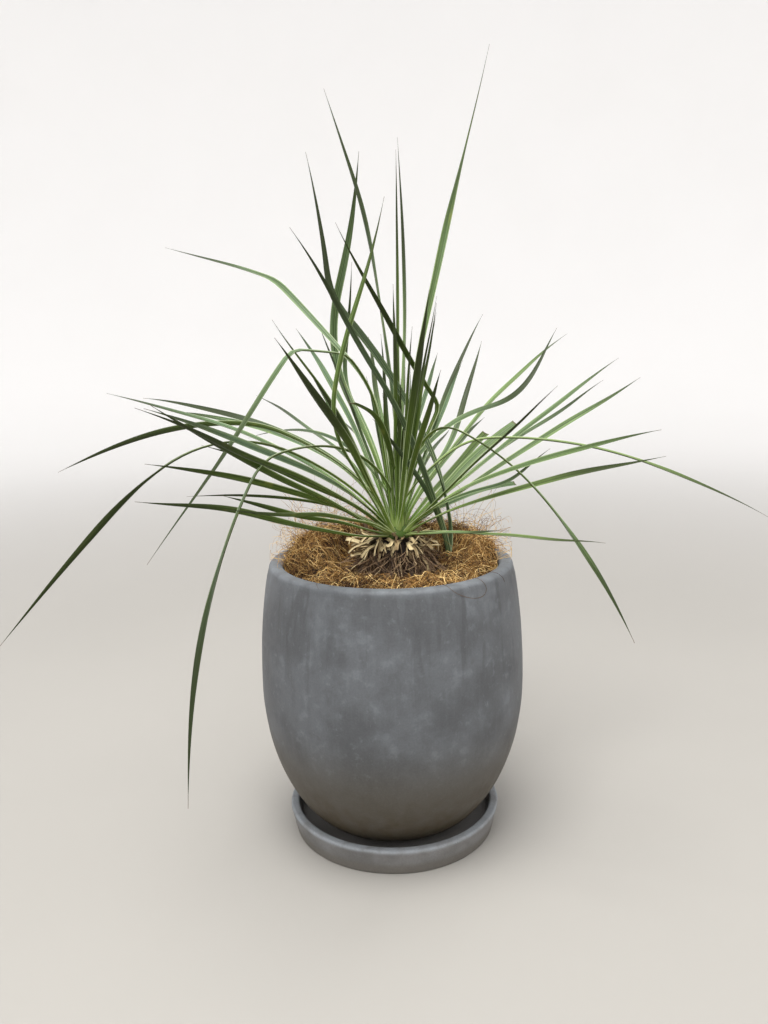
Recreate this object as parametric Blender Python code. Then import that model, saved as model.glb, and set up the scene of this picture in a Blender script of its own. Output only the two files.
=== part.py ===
"""Beaked yucca in a rounded cement pot that stands on its saucer.

The frame: metres, +Z up, origin at the centre of the saucer's flat underside, front towards -Y.
The plant's axis stands a little to the right of the pot's axis. The blades of the crown follow one
rule, an arc set by a heading, a length, a lift at the root and how far the blade splays from it, with
folds, a turn of its face and a slight wander.
"""
import math
import random
from typing import NamedTuple, Optional

import bmesh
import bpy
from mathutils import Matrix, Vector, noise

MM = 0.001
GAP = 0.3 * MM
Finish = Optional[bpy.types.Material]

# Saucer
SAUCER_RADIUS = 84.5 * MM
SAUCER_FOOT_RADIUS = 80.0 * MM
SAUCER_HEIGHT = 21.0 * MM
SAUCER_WALL = 7.0 * MM
SAUCER_FLOOR = 8.0 * MM
SAUCER_EDGE = 1.5 * MM
SAUCER_SEGMENTS = 48

# Pot
POT_SEGMENTS = 36
POT_BASE_Z = SAUCER_FLOOR + GAP
POT_BASE_RADIUS = 46.0 * MM
POT_BELLY_RADIUS = 103.0 * MM
POT_BELLY_Z = 125.0 * MM
POT_RIM_Z = 220.0 * MM
POT_SHOULDER_DROP = 8.5 * MM
POT_WALL = 11.0 * MM
POT_FLOOR = 14.0 * MM
POT_EDGE = 3.5 * MM
DRAIN_RADIUS = 12.5 * MM

# Drainage mesh over the hole
MESH_RADIUS = 30.0 * MM
MESH_THICKNESS = 1.0 * MM

# Soil and the coir that covers it
SOIL_TOP_Z = 204.0 * MM
COIR_RADIUS = 82.5 * MM
COIR_HOLE_RADIUS = 25.0 * MM
COIR_DISH_Z = 210.5 * MM
COIR_FRONT_RISE = 5.0 * MM
COIR_BACK_RISE = 22.0 * MM
COIR_DISH_TO = 46.0 * MM
COIR_CLIMB = 16.0 * MM
COIR_EDGE_FALL = 3.0 * MM
COIR_LUMP = 1.1 * MM
COIR_SHOOT_BUMP = 9.0 * MM
COIR_BUMP_REACH = 11.0 * MM
COIR_SEGMENTS = 36
COIR_RINGS = 8
COIR_EDGE_FROM = 68.0 * MM
COIR_EDGE_OVER = 12.0 * MM
COIR_BACK_FROM = 20.0 * MM
COIR_BACK_OVER = 70.0 * MM
COIR_BUMP_Y = -1.0 * MM

# Curly fibres that stand out of the coir
FIBRE_COUNT = 36
FIBRE_STEPS = 6
FIBRE_RADIUS = 0.8 * MM
FIBRE_AWAY = (46.0, 77.0)
FIBRE_CURL = (8.0, 40.0)
FIBRE_STRIDE = (4.0, 7.0)
FIBRE_LOFT = (2.5, 6.5)
FIBRE_DIP = 2.0 * MM
FIBRE_REACH = 79.0 * MM
FIBRE_TRUNK_CLEARANCE = 46.0 * MM
FIBRE_SHOOT_CLEARANCE = 9.0 * MM

# Trunk, its dry leaf bases and the plant's axis
PLANT_X = 5.0 * MM
TRUNK_RADIUS = 20.0 * MM
TRUNK_FOOT_Z = 118.0 * MM
TRUNK_TOP_Z = 236.0 * MM
SOIL_HOLE_RADIUS = TRUNK_RADIUS + 0.8 * MM
STUB_COUNT = 46
STUB_SHORT = 12.0
STUB_LENGTH = (17.0, 28.0)
STUB_WIDTH = (4.6, 6.6)
STUB_SUNK = 3.0 * MM
STUB_THICKNESS = 1.6 * MM
GOLDEN_ANGLE = 137.5

# Crown
HEART = Vector((PLANT_X, 0.0, 240.0 * MM))
HEART_RADIUS = 16.0 * MM
HEART_RISE = 12.0 * MM
ROOT_REACH = 13.0 * MM
ROOT_RISE = 8.0 * MM
ROOT_SUNK = 7.0 * MM
SPLAY_POWER = 0.4
STRAY = 7.0
YOUNG_LEAF_COUNT = 24

# Blade: its shares of width, where it is widest, where it tapers, and its least thickness
BLADE_NARROW = 0.42
BLADE_WIDEST = 0.60
BLADE_TAPER_FROM = 0.63
BLADE_TAPER_POWER = 0.6
BLADE_KEEL = 1.4 * MM
BLADE_THINNEST = 0.7 * MM
BLADE_LEAST_HALF = 0.6 * MM
BLADE_TURNED_BY = 0.35
FINE_STEPS = 160
LONG_LEAF = 120.0
LONG_STATIONS = 8
SHORT_STATIONS = 5

# Side shoot
SHOOT_BASE = Vector((46.0 * MM, 2.0 * MM, 221.0 * MM))
SHOOT_RADIUS = 4.0 * MM
SHOOT_FOOT_Z = 180.0 * MM
SHOOT_CAP = 6.0 * MM


class Bend(NamedTuple):
    """A fold or a sweep in a blade: where along it, by how many degrees and over what share."""

    at: float
    drop: float
    spread: float


class Leaf(NamedTuple):
    """One blade: degrees from +X, millimetres long, degrees of lift and splay, width and face turn."""

    heading: float
    length: float
    lift: float
    splay: float
    width: float
    turn: float = 0.0
    bends: tuple = ()
    cut: bool = False


UPRIGHT_LEAVES = (
    Leaf(18, 356, 89, 14, 5.5, 50),
    Leaf(81, 301, 71.5, -2, 5.5, 0, (Bend(0.62, -34, 0.4),)),
    Leaf(256, 275, 100, 9, 5.5, 10),
    Leaf(145, 330, 100.5, 30, 5.5, -12),
    Leaf(130, 301, 86.5, 57, 6.5, -30, (Bend(0.5, -72, 0.4),)),
    Leaf(240, 284, 49, 5, 3.5, 30, (Bend(0.4, -74, 0.25),)),
    Leaf(107, 279, 70.5, 60, 4.5, 0, (Bend(0.62, -92, 0.25),)),
    Leaf(225, 267, 104.5, -30, 5.5, 5, (Bend(0.37, 78, 0.06),)),
    Leaf(76, 303, 22, -3, 5),
    Leaf(66, 245, 48, 51, 5.5, 10, (Bend(0.49, -45, 0.4),)),
    Leaf(84, 235, 23.5, 0, 4.5, -15, (Bend(0.84, -44, 0.25),)),
    Leaf(81, 315, 43.5, 26, 5),
    Leaf(75, 226, 37, 32, 4.5),
    Leaf(63, 67, 75, 27, 4.5),
    Leaf(100, 305, 28, 23, 4.5, 15),
    Leaf(255, 167, 119.5, 110, 5, cut=True),
)

RIGHT_LEAVES = (
    Leaf(39, 257, 111.5, 128, 5.5, 35, (Bend(0.73, -64, 0.4),)),
    Leaf(64, 198, 38, 24, 5.5, 15),
    Leaf(48, 269, 59, 37, 6, -5),
    Leaf(37, 288, 34.5, 12, 6, 8),
    Leaf(42, 279, 32.5, 14, 5.5, 6),
    Leaf(32, 268, 26.5, 4, 6, 28),
    Leaf(-41, 167, 44, 4, 5),
    Leaf(27, 123, 46, 13, 7, 35, cut=True),
    Leaf(48, 126, 38, 12, 6.5, 20, cut=True),
    Leaf(-47, 227, 47, 35, 5, 55),
    Leaf(-30, 130, 52, 41, 4, 50, (Bend(0.7, -29, 0.3),)),
    Leaf(26, 103, 38.5, 35, 5.5, 25, cut=True),
    Leaf(-31, 199, 35, 21, 4.5, 55),
    Leaf(-21, 304, 95.5, 106, 5.5, 32, (Bend(0.29, 21, 0.15),)),
    Leaf(-40, 302, 107.5, 105, 5.5, -2, (Bend(0.31, 61, 0.15),)),
    Leaf(-41, 161, 16.5, 18, 3.5, 22),
    Leaf(-51, 99, 11, 1, 3.5, 25),
)

FAR_LEFT_BENDS = (Bend(0.24, 39, 0.2), Bend(0.59, 18, 0.1), Bend(0.75, 1, 0.15))
FOLDED_LEFT_BENDS = (Bend(0.29, 33, 0.2), Bend(0.39, 38, 0.05), Bend(0.52, 49, 0.06))

LEFT_LEAVES = (
    Leaf(137, 419, 87.5, 15, 5.5, -10, FAR_LEFT_BENDS),
    Leaf(224, 358, 86.5, 16, 5.2, -8, FOLDED_LEFT_BENDS),
    Leaf(250, 228, 48.5, 16, 6.5),
    Leaf(118, 304, 47.5, 40, 5),
    Leaf(160, 247, 80.5, 79, 5.5, -45),
    Leaf(135, 222, 99, 116, 4.5, -22),
    Leaf(146, 257, 73, 77, 5.5, -40),
    Leaf(165, 327, 84.5, 97, 5.5, 55, (Bend(0.4, 14, 0.15),)),
    Leaf(235, 247, 49, 32, 6.5, -55),
    Leaf(244, 303, 34.5, 17, 5.5, 25),
    Leaf(238, 253, 23.5, -4, 5, 45),
    Leaf(233, 236, 32, 18, 5.5, 48),
    Leaf(232, 233, 6.5, -11, 4.5, 62),
    Leaf(250, 246, 25.5, 14, 3.5, 50),
    Leaf(226, 154, 18, -1, 4, 65),
    Leaf(215, 166, 42.5, 38, 3.5, 30),
    Leaf(210, 348, 67.5, 66, 6.5, 48, (Bend(0.43, 48, 0.4),)),
    Leaf(240, 403, 107, 156, 5.5, 25, (Bend(0.48, 36, 0.1),)),
)

FILL_LEAVES = (
    Leaf(95, 240, 59.5, 30, 5.5, 20),
    Leaf(112, 300, 51.5, 26, 5.5, -20),
    Leaf(178, 238, 62, 50, 5.5, -25),
    Leaf(190, 150, 49.5, 30, 4.5, 45),
    Leaf(280, 198, 72, 20, 5.5, 10),
    Leaf(285, 158, 66, 22, 4.5, -10),
)

SHOOT_LEAVES = (
    Leaf(194, 316, 110.5, 73, 6.5, -55, (Bend(0.69, -43, 0.15),)),
    Leaf(228, 278, 80.5, 36, 6, 5),
    Leaf(211, 128, 85, 38, 4.5, 35),
)


def ease(share: float) -> float:
    """Ease a share between 0 and 1 in and out."""
    share = min(max(share, 0.0), 1.0)
    return share * share * (3.0 - 2.0 * share)


def material(name: str, colour: tuple, roughness: float) -> bpy.types.Material:
    """Make a Principled material with one colour."""
    made = bpy.data.materials.new(name)
    made.use_nodes = True
    shader = made.node_tree.nodes["Principled BSDF"]
    shader.inputs["Base Color"].default_value = (*colour, 1.0)
    shader.inputs["Roughness"].default_value = roughness
    shader.inputs["Metallic"].default_value = 0.0
    return made


def node(name: str, mesh: bpy.types.Mesh, finish: Finish = None) -> bpy.types.Object:
    """Link a mesh as a named object."""
    made = bpy.data.objects.new(name, mesh)
    bpy.context.scene.collection.objects.link(made)
    if finish is not None:
        mesh.materials.append(finish)
    return made


def mesh_of(name: str, points: list, faces: list, smooth_degrees: float = 0.0) -> bpy.types.Mesh:
    """Build a mesh with its faces turned outwards, smooth up to an angle."""
    mesh = bpy.data.meshes.new(name)
    mesh.from_pydata([tuple(point) for point in points], [], faces)
    shape = bmesh.new()
    shape.from_mesh(mesh)
    bmesh.ops.recalc_face_normals(shape, faces=shape.faces)
    shape.to_mesh(mesh)
    shape.free()
    if smooth_degrees:
        mesh.shade_smooth()
        mesh.set_sharp_from_angle(angle=math.radians(smooth_degrees))
    return mesh


def turned_mesh(name: str, outline: list, segments: int, centre: Vector = Vector()) -> bpy.types.Mesh:
    """Turn an outline of (radius, height) about a vertical axis; it closes or ends on the axis."""
    points, rings, faces = [], [], []
    for radius, height in outline:
        if radius == 0.0:
            rings.append([len(points)] * segments)
            points.append(centre + Vector((0.0, 0.0, height)))
            continue
        rings.append(list(range(len(points), len(points) + segments)))
        for step in range(segments):
            angle = 2.0 * math.pi * step / segments
            points.append(centre + Vector((radius * math.cos(angle), radius * math.sin(angle), height)))
    open_ended = outline[0][0] == 0.0
    pairs = list(zip(rings, rings[1:])) + ([] if open_ended else [(rings[-1], rings[0])])
    for lower, upper in pairs:
        for step in range(segments):
            after = (step + 1) % segments
            corners = [lower[step], lower[after], upper[after], upper[step]]
            faces.append(list(dict.fromkeys(corners)))
    return mesh_of(name, points, faces, 40.0)


def fused(name: str, base: bpy.types.Object, repeats: list) -> bpy.types.Mesh:
    """Join a base and its repeats into one closed body and remove the helper objects."""
    group = bpy.data.collections.new(name + "_repeats")
    bpy.context.scene.collection.children.link(group)
    for mesh in repeats:
        group.objects.link(bpy.data.objects.new(mesh.name, mesh))
    union = base.modifiers.new("union", "BOOLEAN")
    union.operation = "UNION"
    union.operand_type = "COLLECTION"
    union.collection = group
    union.solver = "MANIFOLD"
    depsgraph = bpy.context.evaluated_depsgraph_get()
    joined = bpy.data.meshes.new_from_object(base.evaluated_get(depsgraph))
    base.modifiers.clear()
    for helper in list(group.objects):
        bpy.data.objects.remove(helper)
    bpy.data.collections.remove(group)
    bpy.data.objects.remove(base)
    return largest_body(name, joined)


def largest_body(name: str, mesh: bpy.types.Mesh) -> bpy.types.Mesh:
    """Keep the biggest connected body of a fused mesh and drop loose scraps and sealed hollows."""
    shape = bmesh.new()
    shape.from_mesh(mesh)
    waiting = set(shape.verts)
    bodies = []
    while waiting:
        front = [waiting.pop()]
        body = set(front)
        while front:
            for edge in front.pop().link_edges:
                for vertex in edge.verts:
                    if vertex in waiting:
                        waiting.remove(vertex)
                        body.add(vertex)
                        front.append(vertex)
        bodies.append(body)
    bodies.sort(key=len)
    for body in bodies[:-1]:
        bmesh.ops.delete(shape, geom=list(body), context="VERTS")
    bmesh.ops.triangulate(shape, faces=shape.faces)
    kept = bpy.data.meshes.new(name)
    shape.to_mesh(kept)
    shape.free()
    return kept


def with_hole(target: bpy.types.Object, name: str, radius: float, foot: Vector, top_z: float) -> None:
    """Sink a plain round hole into an object, from a foot point up past its top."""
    outline = [(0.0, foot.z), (radius, foot.z), (radius, top_z), (0.0, top_z)]
    cutter = node(name, turned_mesh(name, outline, 20, Vector((foot.x, foot.y, 0.0))))
    cutter.hide_render = True
    cutter.display_type = "WIRE"
    cut = target.modifiers.new(name, "BOOLEAN")
    cut.operation = "DIFFERENCE"
    cut.solver = "EXACT"
    cut.object = cutter


def pot_radius(height: float) -> float:
    """Outer radius of the pot at a height: a full lower bowl, then a slow draw-in to the rim."""
    if height < POT_BELLY_Z:
        share = min((POT_BELLY_Z - height) / (POT_BELLY_Z - POT_BASE_Z), 1.0)
        return POT_BASE_RADIUS + (POT_BELLY_RADIUS - POT_BASE_RADIUS) * (1.0 - share**2) ** 0.6
    share = (height - POT_BELLY_Z) / (POT_RIM_Z - POT_BELLY_Z)
    return POT_BELLY_RADIUS - POT_SHOULDER_DROP * share**2


def cavity_radius(height: float) -> float:
    """Inner radius of the pot at a height."""
    return pot_radius(height) - POT_WALL


def pot_outline() -> list:
    """Outline of the pot's wall, from the drain hole round the outside and back down inside."""
    floor_z = POT_BASE_Z + POT_FLOOR
    outline = [(DRAIN_RADIUS, POT_BASE_Z), (POT_BASE_RADIUS, POT_BASE_Z)]
    for step in range(1, 9):
        height = POT_BELLY_Z - (POT_BELLY_Z - POT_BASE_Z) * math.cos(math.radians(90.0 * step / 8))
        outline.append((pot_radius(height), height))
    for share in (0.33, 0.66):
        height = POT_BELLY_Z + (POT_RIM_Z - POT_BELLY_Z) * share
        outline.append((pot_radius(height), height))
    outer = pot_radius(POT_RIM_Z)
    inner = outer - POT_WALL
    below_edge = POT_RIM_Z - POT_EDGE
    for degrees in (0, 30, 60, 90):
        reach, up = POT_EDGE * math.cos(math.radians(degrees)), POT_EDGE * math.sin(math.radians(degrees))
        outline.append((outer - POT_EDGE + reach, below_edge + up))
    for degrees in (90, 60, 30, 0):
        reach, up = POT_EDGE * math.cos(math.radians(degrees)), POT_EDGE * math.sin(math.radians(degrees))
        outline.append((inner + POT_EDGE - reach, below_edge + up))
    for height in cavity_heights():
        outline.append((cavity_radius(height), height))
    outline.append((cavity_radius(floor_z + POT_FLOOR * 0.4) * 0.8, floor_z))
    outline.append((DRAIN_RADIUS, floor_z))
    return outline


def cavity_heights() -> list:
    """Heights of the rings that shape the cavity, from under the rim down to above the floor."""
    floor_z = POT_BASE_Z + POT_FLOOR
    below_rim = POT_RIM_Z - 12.0 * MM
    return [floor_z + (below_rim - floor_z) * share for share in (1.0, 0.7, 0.42, 0.2, 0.06)]


def build_saucer() -> None:
    """Saucer: a flat-bottomed dish with a thick, slightly flared wall."""
    inner = SAUCER_RADIUS - SAUCER_WALL
    outline = [
        (0.0, 0.0),
        (SAUCER_FOOT_RADIUS, 0.0),
        (SAUCER_FOOT_RADIUS + 2.0 * MM, 1.5 * MM),
        (SAUCER_RADIUS, SAUCER_HEIGHT - SAUCER_EDGE),
        (SAUCER_RADIUS - SAUCER_EDGE, SAUCER_HEIGHT),
        (inner + SAUCER_EDGE, SAUCER_HEIGHT),
        (inner, SAUCER_HEIGHT - SAUCER_EDGE),
        (inner - 1.5 * MM, SAUCER_FLOOR + 2.0 * MM),
        (inner - 3.5 * MM, SAUCER_FLOOR),
        (0.0, SAUCER_FLOOR),
    ]
    finish = material("saucer_cement", (0.12, 0.125, 0.13), 0.75)
    node("saucer", turned_mesh("saucer", outline, SAUCER_SEGMENTS), finish)


def build_pot() -> None:
    """Pot: a rounded cement shell with a drain hole in its floor."""
    finish = material("pot_cement", (0.11, 0.12, 0.135), 0.7)
    node("pot", turned_mesh("pot", pot_outline(), POT_SEGMENTS), finish)


def build_drainage_mesh() -> None:
    """Thin disc that lies on the pot's floor and keeps the soil off the drain hole."""
    low = POT_BASE_Z + POT_FLOOR + GAP
    high = low + MESH_THICKNESS
    outline = [(0.0, low), (MESH_RADIUS, low), (MESH_RADIUS, high), (0.0, high)]
    finish = material("net_plastic", (0.03, 0.05, 0.03), 0.5)
    node("drainage_mesh", turned_mesh("drainage_mesh", outline, 24), finish)


def build_soil() -> None:
    """Soil that fills the pot, recessed over the mesh, with holes for the trunk and the shoot."""
    floor_z = POT_BASE_Z + POT_FLOOR + GAP
    recess = MESH_RADIUS + GAP * 2
    above_mesh = floor_z + MESH_THICKNESS + GAP
    side_gap = 2.0 * GAP
    outline = [(0.0, above_mesh), (recess, above_mesh), (recess, floor_z)]
    outline.append((cavity_radius(POT_BASE_Z + POT_FLOOR * 1.4) * 0.8 - side_gap, floor_z))
    for height in reversed(cavity_heights()[1:]):
        outline.append((cavity_radius(height) - side_gap, height + GAP))
    outline.append((cavity_radius(SOIL_TOP_Z) - side_gap - GAP, SOIL_TOP_Z))
    outline.append((0.0, SOIL_TOP_Z))
    finish = material("soil", (0.03, 0.02, 0.012), 0.95)
    soil = node("potting_soil", turned_mesh("potting_soil", outline, POT_SEGMENTS), finish)
    above = SOIL_TOP_Z + 20.0 * MM
    with_hole(soil, "trunk_hole", SOIL_HOLE_RADIUS, Vector((PLANT_X, 0.0, TRUNK_FOOT_Z - GAP)), above)
    shoot_foot = Vector((SHOOT_BASE.x, SHOOT_BASE.y, SHOOT_FOOT_Z - GAP))
    with_hole(soil, "shoot_hole", SHOOT_RADIUS + 2 * GAP, shoot_foot, above)


def coir_height(x: float, y: float) -> float:
    """Height of the coir bed: low round the trunk, heaped towards the back, uneven all over."""
    away = math.hypot(x - PLANT_X, y)
    climb = ease((away - COIR_DISH_TO) / COIR_CLIMB)
    backward = ease((y + COIR_BACK_FROM) / COIR_BACK_OVER)
    rise = COIR_FRONT_RISE + (COIR_BACK_RISE - COIR_FRONT_RISE) * backward
    edge_fall = ease((math.hypot(x, y) - COIR_EDGE_FROM) / COIR_EDGE_OVER) * COIR_EDGE_FALL
    lumps = math.sin(x * 260 + 1.3) * math.cos(y * 210 + 0.4) + 0.6 * math.sin(x * 520 - y * 430)
    bump_square = ((x - SHOOT_BASE.x) ** 2 + (y - COIR_BUMP_Y) ** 2) / COIR_BUMP_REACH**2
    bump = COIR_SHOOT_BUMP * math.exp(-bump_square)
    return COIR_DISH_Z + climb * (rise + lumps * COIR_LUMP) - edge_fall + bump


def coir_bed() -> bpy.types.Object:
    """Closed bed of coir with the trunk's opening, its top following the height rule."""
    columns = [share / COIR_RINGS for share in range(COIR_RINGS + 1)]
    points, faces = [], []
    for level in ("top", "bottom"):
        for share in columns:
            for step in range(COIR_SEGMENTS):
                angle = 2.0 * math.pi * step / COIR_SEGMENTS
                radius = COIR_HOLE_RADIUS + (COIR_RADIUS - COIR_HOLE_RADIUS) * share
                x = PLANT_X * (1.0 - share) + radius * math.cos(angle)
                y = radius * math.sin(angle)
                points.append((x, y, coir_height(x, y) if level == "top" else SOIL_TOP_Z + GAP))
    ring_total = (COIR_RINGS + 1) * COIR_SEGMENTS
    outer = COIR_RINGS * COIR_SEGMENTS
    for step in range(COIR_SEGMENTS):
        after = (step + 1) % COIR_SEGMENTS
        for ring in range(COIR_RINGS):
            low = ring * COIR_SEGMENTS
            high = low + COIR_SEGMENTS
            faces.append((low + step, high + step, high + after, low + after))
        under_outer = ring_total + outer
        faces.append((outer + step, under_outer + step, under_outer + after, outer + after))
        faces.append((ring_total + step, step, after, ring_total + after))
        faces.append((under_outer + step, ring_total + step, ring_total + after, under_outer + after))
    used = sorted({index for face in faces for index in face})
    place = {index: order for order, index in enumerate(used)}
    kept_points = [points[index] for index in used]
    kept_faces = [tuple(place[index] for index in face) for face in faces]
    return node("coir_bed_base", mesh_of("coir_bed_base", kept_points, kept_faces))


def strand_mesh(name: str, path: list, radius: float) -> bpy.types.Mesh:
    """Three-sided strand along a path."""
    points, faces = [], []
    for index, here in enumerate(path):
        ahead = path[min(index + 1, len(path) - 1)] - path[max(index - 1, 0)]
        ahead.normalize()
        side = ahead.cross(Vector((0.0, 0.0, 1.0)))
        side = side.normalized() if side.length > 0.01 else Vector((1.0, 0.0, 0.0))
        over = side.cross(ahead)
        for corner in range(3):
            angle = math.radians(90 + 120 * corner)
            points.append(here + side * radius * math.cos(angle) + over * radius * math.sin(angle))
    for index in range(len(path) - 1):
        low = 3 * index
        for corner in range(3):
            after = (corner + 1) % 3
            faces.append((low + corner, low + after, low + 3 + after))
            faces.append((low + corner, low + 3 + after, low + 3 + corner))
    faces.append((0, 2, 1))
    last = 3 * (len(path) - 1)
    faces.append((last, last + 1, last + 2))
    return mesh_of(name, points, faces)


def fibre_path(draw: random.Random) -> list:
    """Path of one curly coir fibre: it leaves the bed, loops over it and dips back in."""
    away = draw.uniform(*FIBRE_AWAY) * MM
    angle = draw.uniform(0.0, 2.0 * math.pi)
    x = PLANT_X * 0.5 + away * math.cos(angle)
    y = away * math.sin(angle)
    direction = angle + math.radians(90 + draw.uniform(-50, 50))
    curl = draw.choice((-1, 1)) * draw.uniform(*FIBRE_CURL)
    stride = draw.uniform(*FIBRE_STRIDE) * MM
    loft = draw.uniform(*FIBRE_LOFT) * MM
    path = []
    for step in range(FIBRE_STEPS + 1):
        share = step / FIBRE_STEPS
        lift = math.sin(math.pi * share) * (loft + FIBRE_DIP) - FIBRE_DIP
        reach = min(1.0, FIBRE_REACH / max(math.hypot(x, y), 1.0 * MM))
        path.append(Vector((x * reach, y * reach, coir_height(x * reach, y * reach) + lift)))
        x += stride * math.cos(direction)
        y += stride * math.sin(direction)
        direction += math.radians(curl)
    return path


def build_coir() -> None:
    """Coir that covers the soil: a heaped bed with curly fibres that stand out of it."""
    draw = random.Random(21)
    strands = []
    while len(strands) < FIBRE_COUNT:
        path = fibre_path(draw)
        from_trunk = min(math.hypot(spot.x - PLANT_X, spot.y) for spot in path)
        from_shoot = min(math.hypot(spot.x - SHOOT_BASE.x, spot.y - SHOOT_BASE.y) for spot in path)
        if from_trunk > FIBRE_TRUNK_CLEARANCE and from_shoot > FIBRE_SHOOT_CLEARANCE:
            strands.append(strand_mesh("fibre", path, FIBRE_RADIUS))
    bed = coir_bed()
    mesh = fused("coir_mulch", bed, strands)
    coir = node("coir_mulch", mesh, material("coir_fibre", (0.32, 0.17, 0.07), 0.9))
    foot = Vector((SHOOT_BASE.x, SHOOT_BASE.y, SOIL_TOP_Z - 5.0 * MM))
    with_hole(coir, "coir_shoot_hole", SHOOT_RADIUS + 2 * GAP, foot, SOIL_TOP_Z + 40.0 * MM)


def stray(leaf: Leaf, share: float, row: float) -> float:
    """Degrees by which a blade strays from its arc: row 0 up and down, row 1 side to side."""
    spot = Vector((share * 3.5, leaf.length * 0.11 + row * 9.0, leaf.heading * 0.23))
    return STRAY * ease(share / 0.3) * noise.noise(spot)


def direction(leaf: Leaf, share: float) -> tuple:
    """Direction of a blade at a share of its length, and the one square to it that points up."""
    lift = leaf.lift - leaf.splay * share**SPLAY_POWER + stray(leaf, share, 0.0)
    for bend in leaf.bends:
        lift -= bend.drop * ease((share - bend.at) / bend.spread + 0.5)
    lift = math.radians(lift)
    heading = math.radians(leaf.heading + stray(leaf, share, 1.0))
    level = Vector((math.cos(heading), math.sin(heading), 0.0))
    rise = Vector((0.0, 0.0, 1.0))
    return level * math.cos(lift) + rise * math.sin(lift), rise * math.cos(lift) - level * math.sin(lift)


def blade_path(leaf: Leaf, root: Vector) -> list:
    """Points, along and up vectors of a blade's midline, walked in fine steps from its root."""
    here = root.copy()
    stride = leaf.length * MM / FINE_STEPS
    walked = []
    for step in range(FINE_STEPS + 1):
        share = step / FINE_STEPS
        along, up = direction(leaf, share)
        roll = leaf.turn * ease(share / BLADE_TURNED_BY)
        walked.append((here.copy(), along, Matrix.Rotation(math.radians(roll), 3, along) @ up))
        here += along * stride
    return walked


def stations(leaf: Leaf, count: int) -> list:
    """Shares along a blade where it has a section, with three at every fold."""
    shares = {round((step / count) ** 1.15, 3) for step in range(count + 1)}
    for bend in leaf.bends:
        half = bend.spread * 0.5
        folds = {round(bend.at + offset, 3) for offset in (-half, 0.0, half)}
        shares = {share for share in shares if all(abs(share - fold) > 0.03 for fold in folds)} | folds
    return sorted(share for share in shares if share <= 1.0)


def half_width(leaf: Leaf, share: float) -> float:
    """Half the width of a blade: narrow at its root, widest past the middle, then down to a point."""
    swell = BLADE_NARROW + (1.0 - BLADE_NARROW) * ease(share / BLADE_WIDEST)
    taper = 1.0
    if not leaf.cut:
        taper -= ease((share - BLADE_TAPER_FROM) / (1.0 - BLADE_TAPER_FROM))
    return max(0.5 * leaf.width * MM * swell * taper**BLADE_TAPER_POWER, BLADE_LEAST_HALF)


def blade_mesh(leaf: Leaf, root: Vector, sunk: float, thickness: float, count: int) -> bpy.types.Mesh:
    """Solid blade with two edges and a keel, its root run back into what it grows from."""
    walked = blade_path(leaf, root)
    sections = [(walked[0][0] - walked[0][1] * sunk, walked[0][1], walked[0][2], 0.0)]
    for share in stations(leaf, count):
        here, along, up = walked[min(int(share * FINE_STEPS), FINE_STEPS)]
        sections.append((here, along, up, share))
    points, faces = [], []
    for here, along, up, share in sections:
        half = half_width(leaf, share)
        keel = max(thickness * (1.0 - 0.45 * share), BLADE_THINNEST)
        side = along.cross(up)
        points += [here - side * half, here + side * half, here - up * keel]
    for index in range(len(sections) - 1):
        left, right, keel = 3 * index, 3 * index + 1, 3 * index + 2
        faces += [(left, right, right + 3), (left, right + 3, left + 3)]
        faces += [(right, keel, right + 3), (keel, keel + 3, right + 3)]
        faces += [(keel, left, keel + 3), (left, left + 3, keel + 3)]
    last = 3 * (len(sections) - 1)
    faces += [(0, 2, 1), (last, last + 1, last + 2)]
    return mesh_of("blade", points, faces)


def root_of(leaf: Leaf, heart: Vector, reach: float, rise: float) -> Vector:
    """Point where a blade leaves its heart: the flatter it starts, the further out."""
    level = math.cos(math.radians(leaf.lift))
    out = reach * math.copysign(abs(level) ** 0.7, level) + reach * 0.15
    heading = math.radians(leaf.heading)
    up = rise * math.sin(math.radians(leaf.lift))
    return heart + Vector((out * math.cos(heading), out * math.sin(heading), up))


def young_leaves() -> list:
    """Short inner blades round the heart, turned by the golden angle."""
    draw = random.Random(29)
    made = []
    for order in range(YOUNG_LEAF_COUNT):
        share = order / (YOUNG_LEAF_COUNT - 1)
        heading = (40.0 + GOLDEN_ANGLE * order) % 360.0
        length = 90.0 + 90.0 * share + draw.uniform(-25, 25)
        lift = 90.0 - 18.0 * share + draw.uniform(-5, 5)
        splay = draw.uniform(4.0, 8.0 + 22.0 * share)
        if heading > 245.0 or heading < 35.0:
            lift, splay = max(lift, 85.0), splay * 0.4
        width = draw.uniform(3.0, 4.4)
        made.append(Leaf(heading, round(length), lift, splay, width, draw.uniform(50, -50)))
    return made


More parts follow.
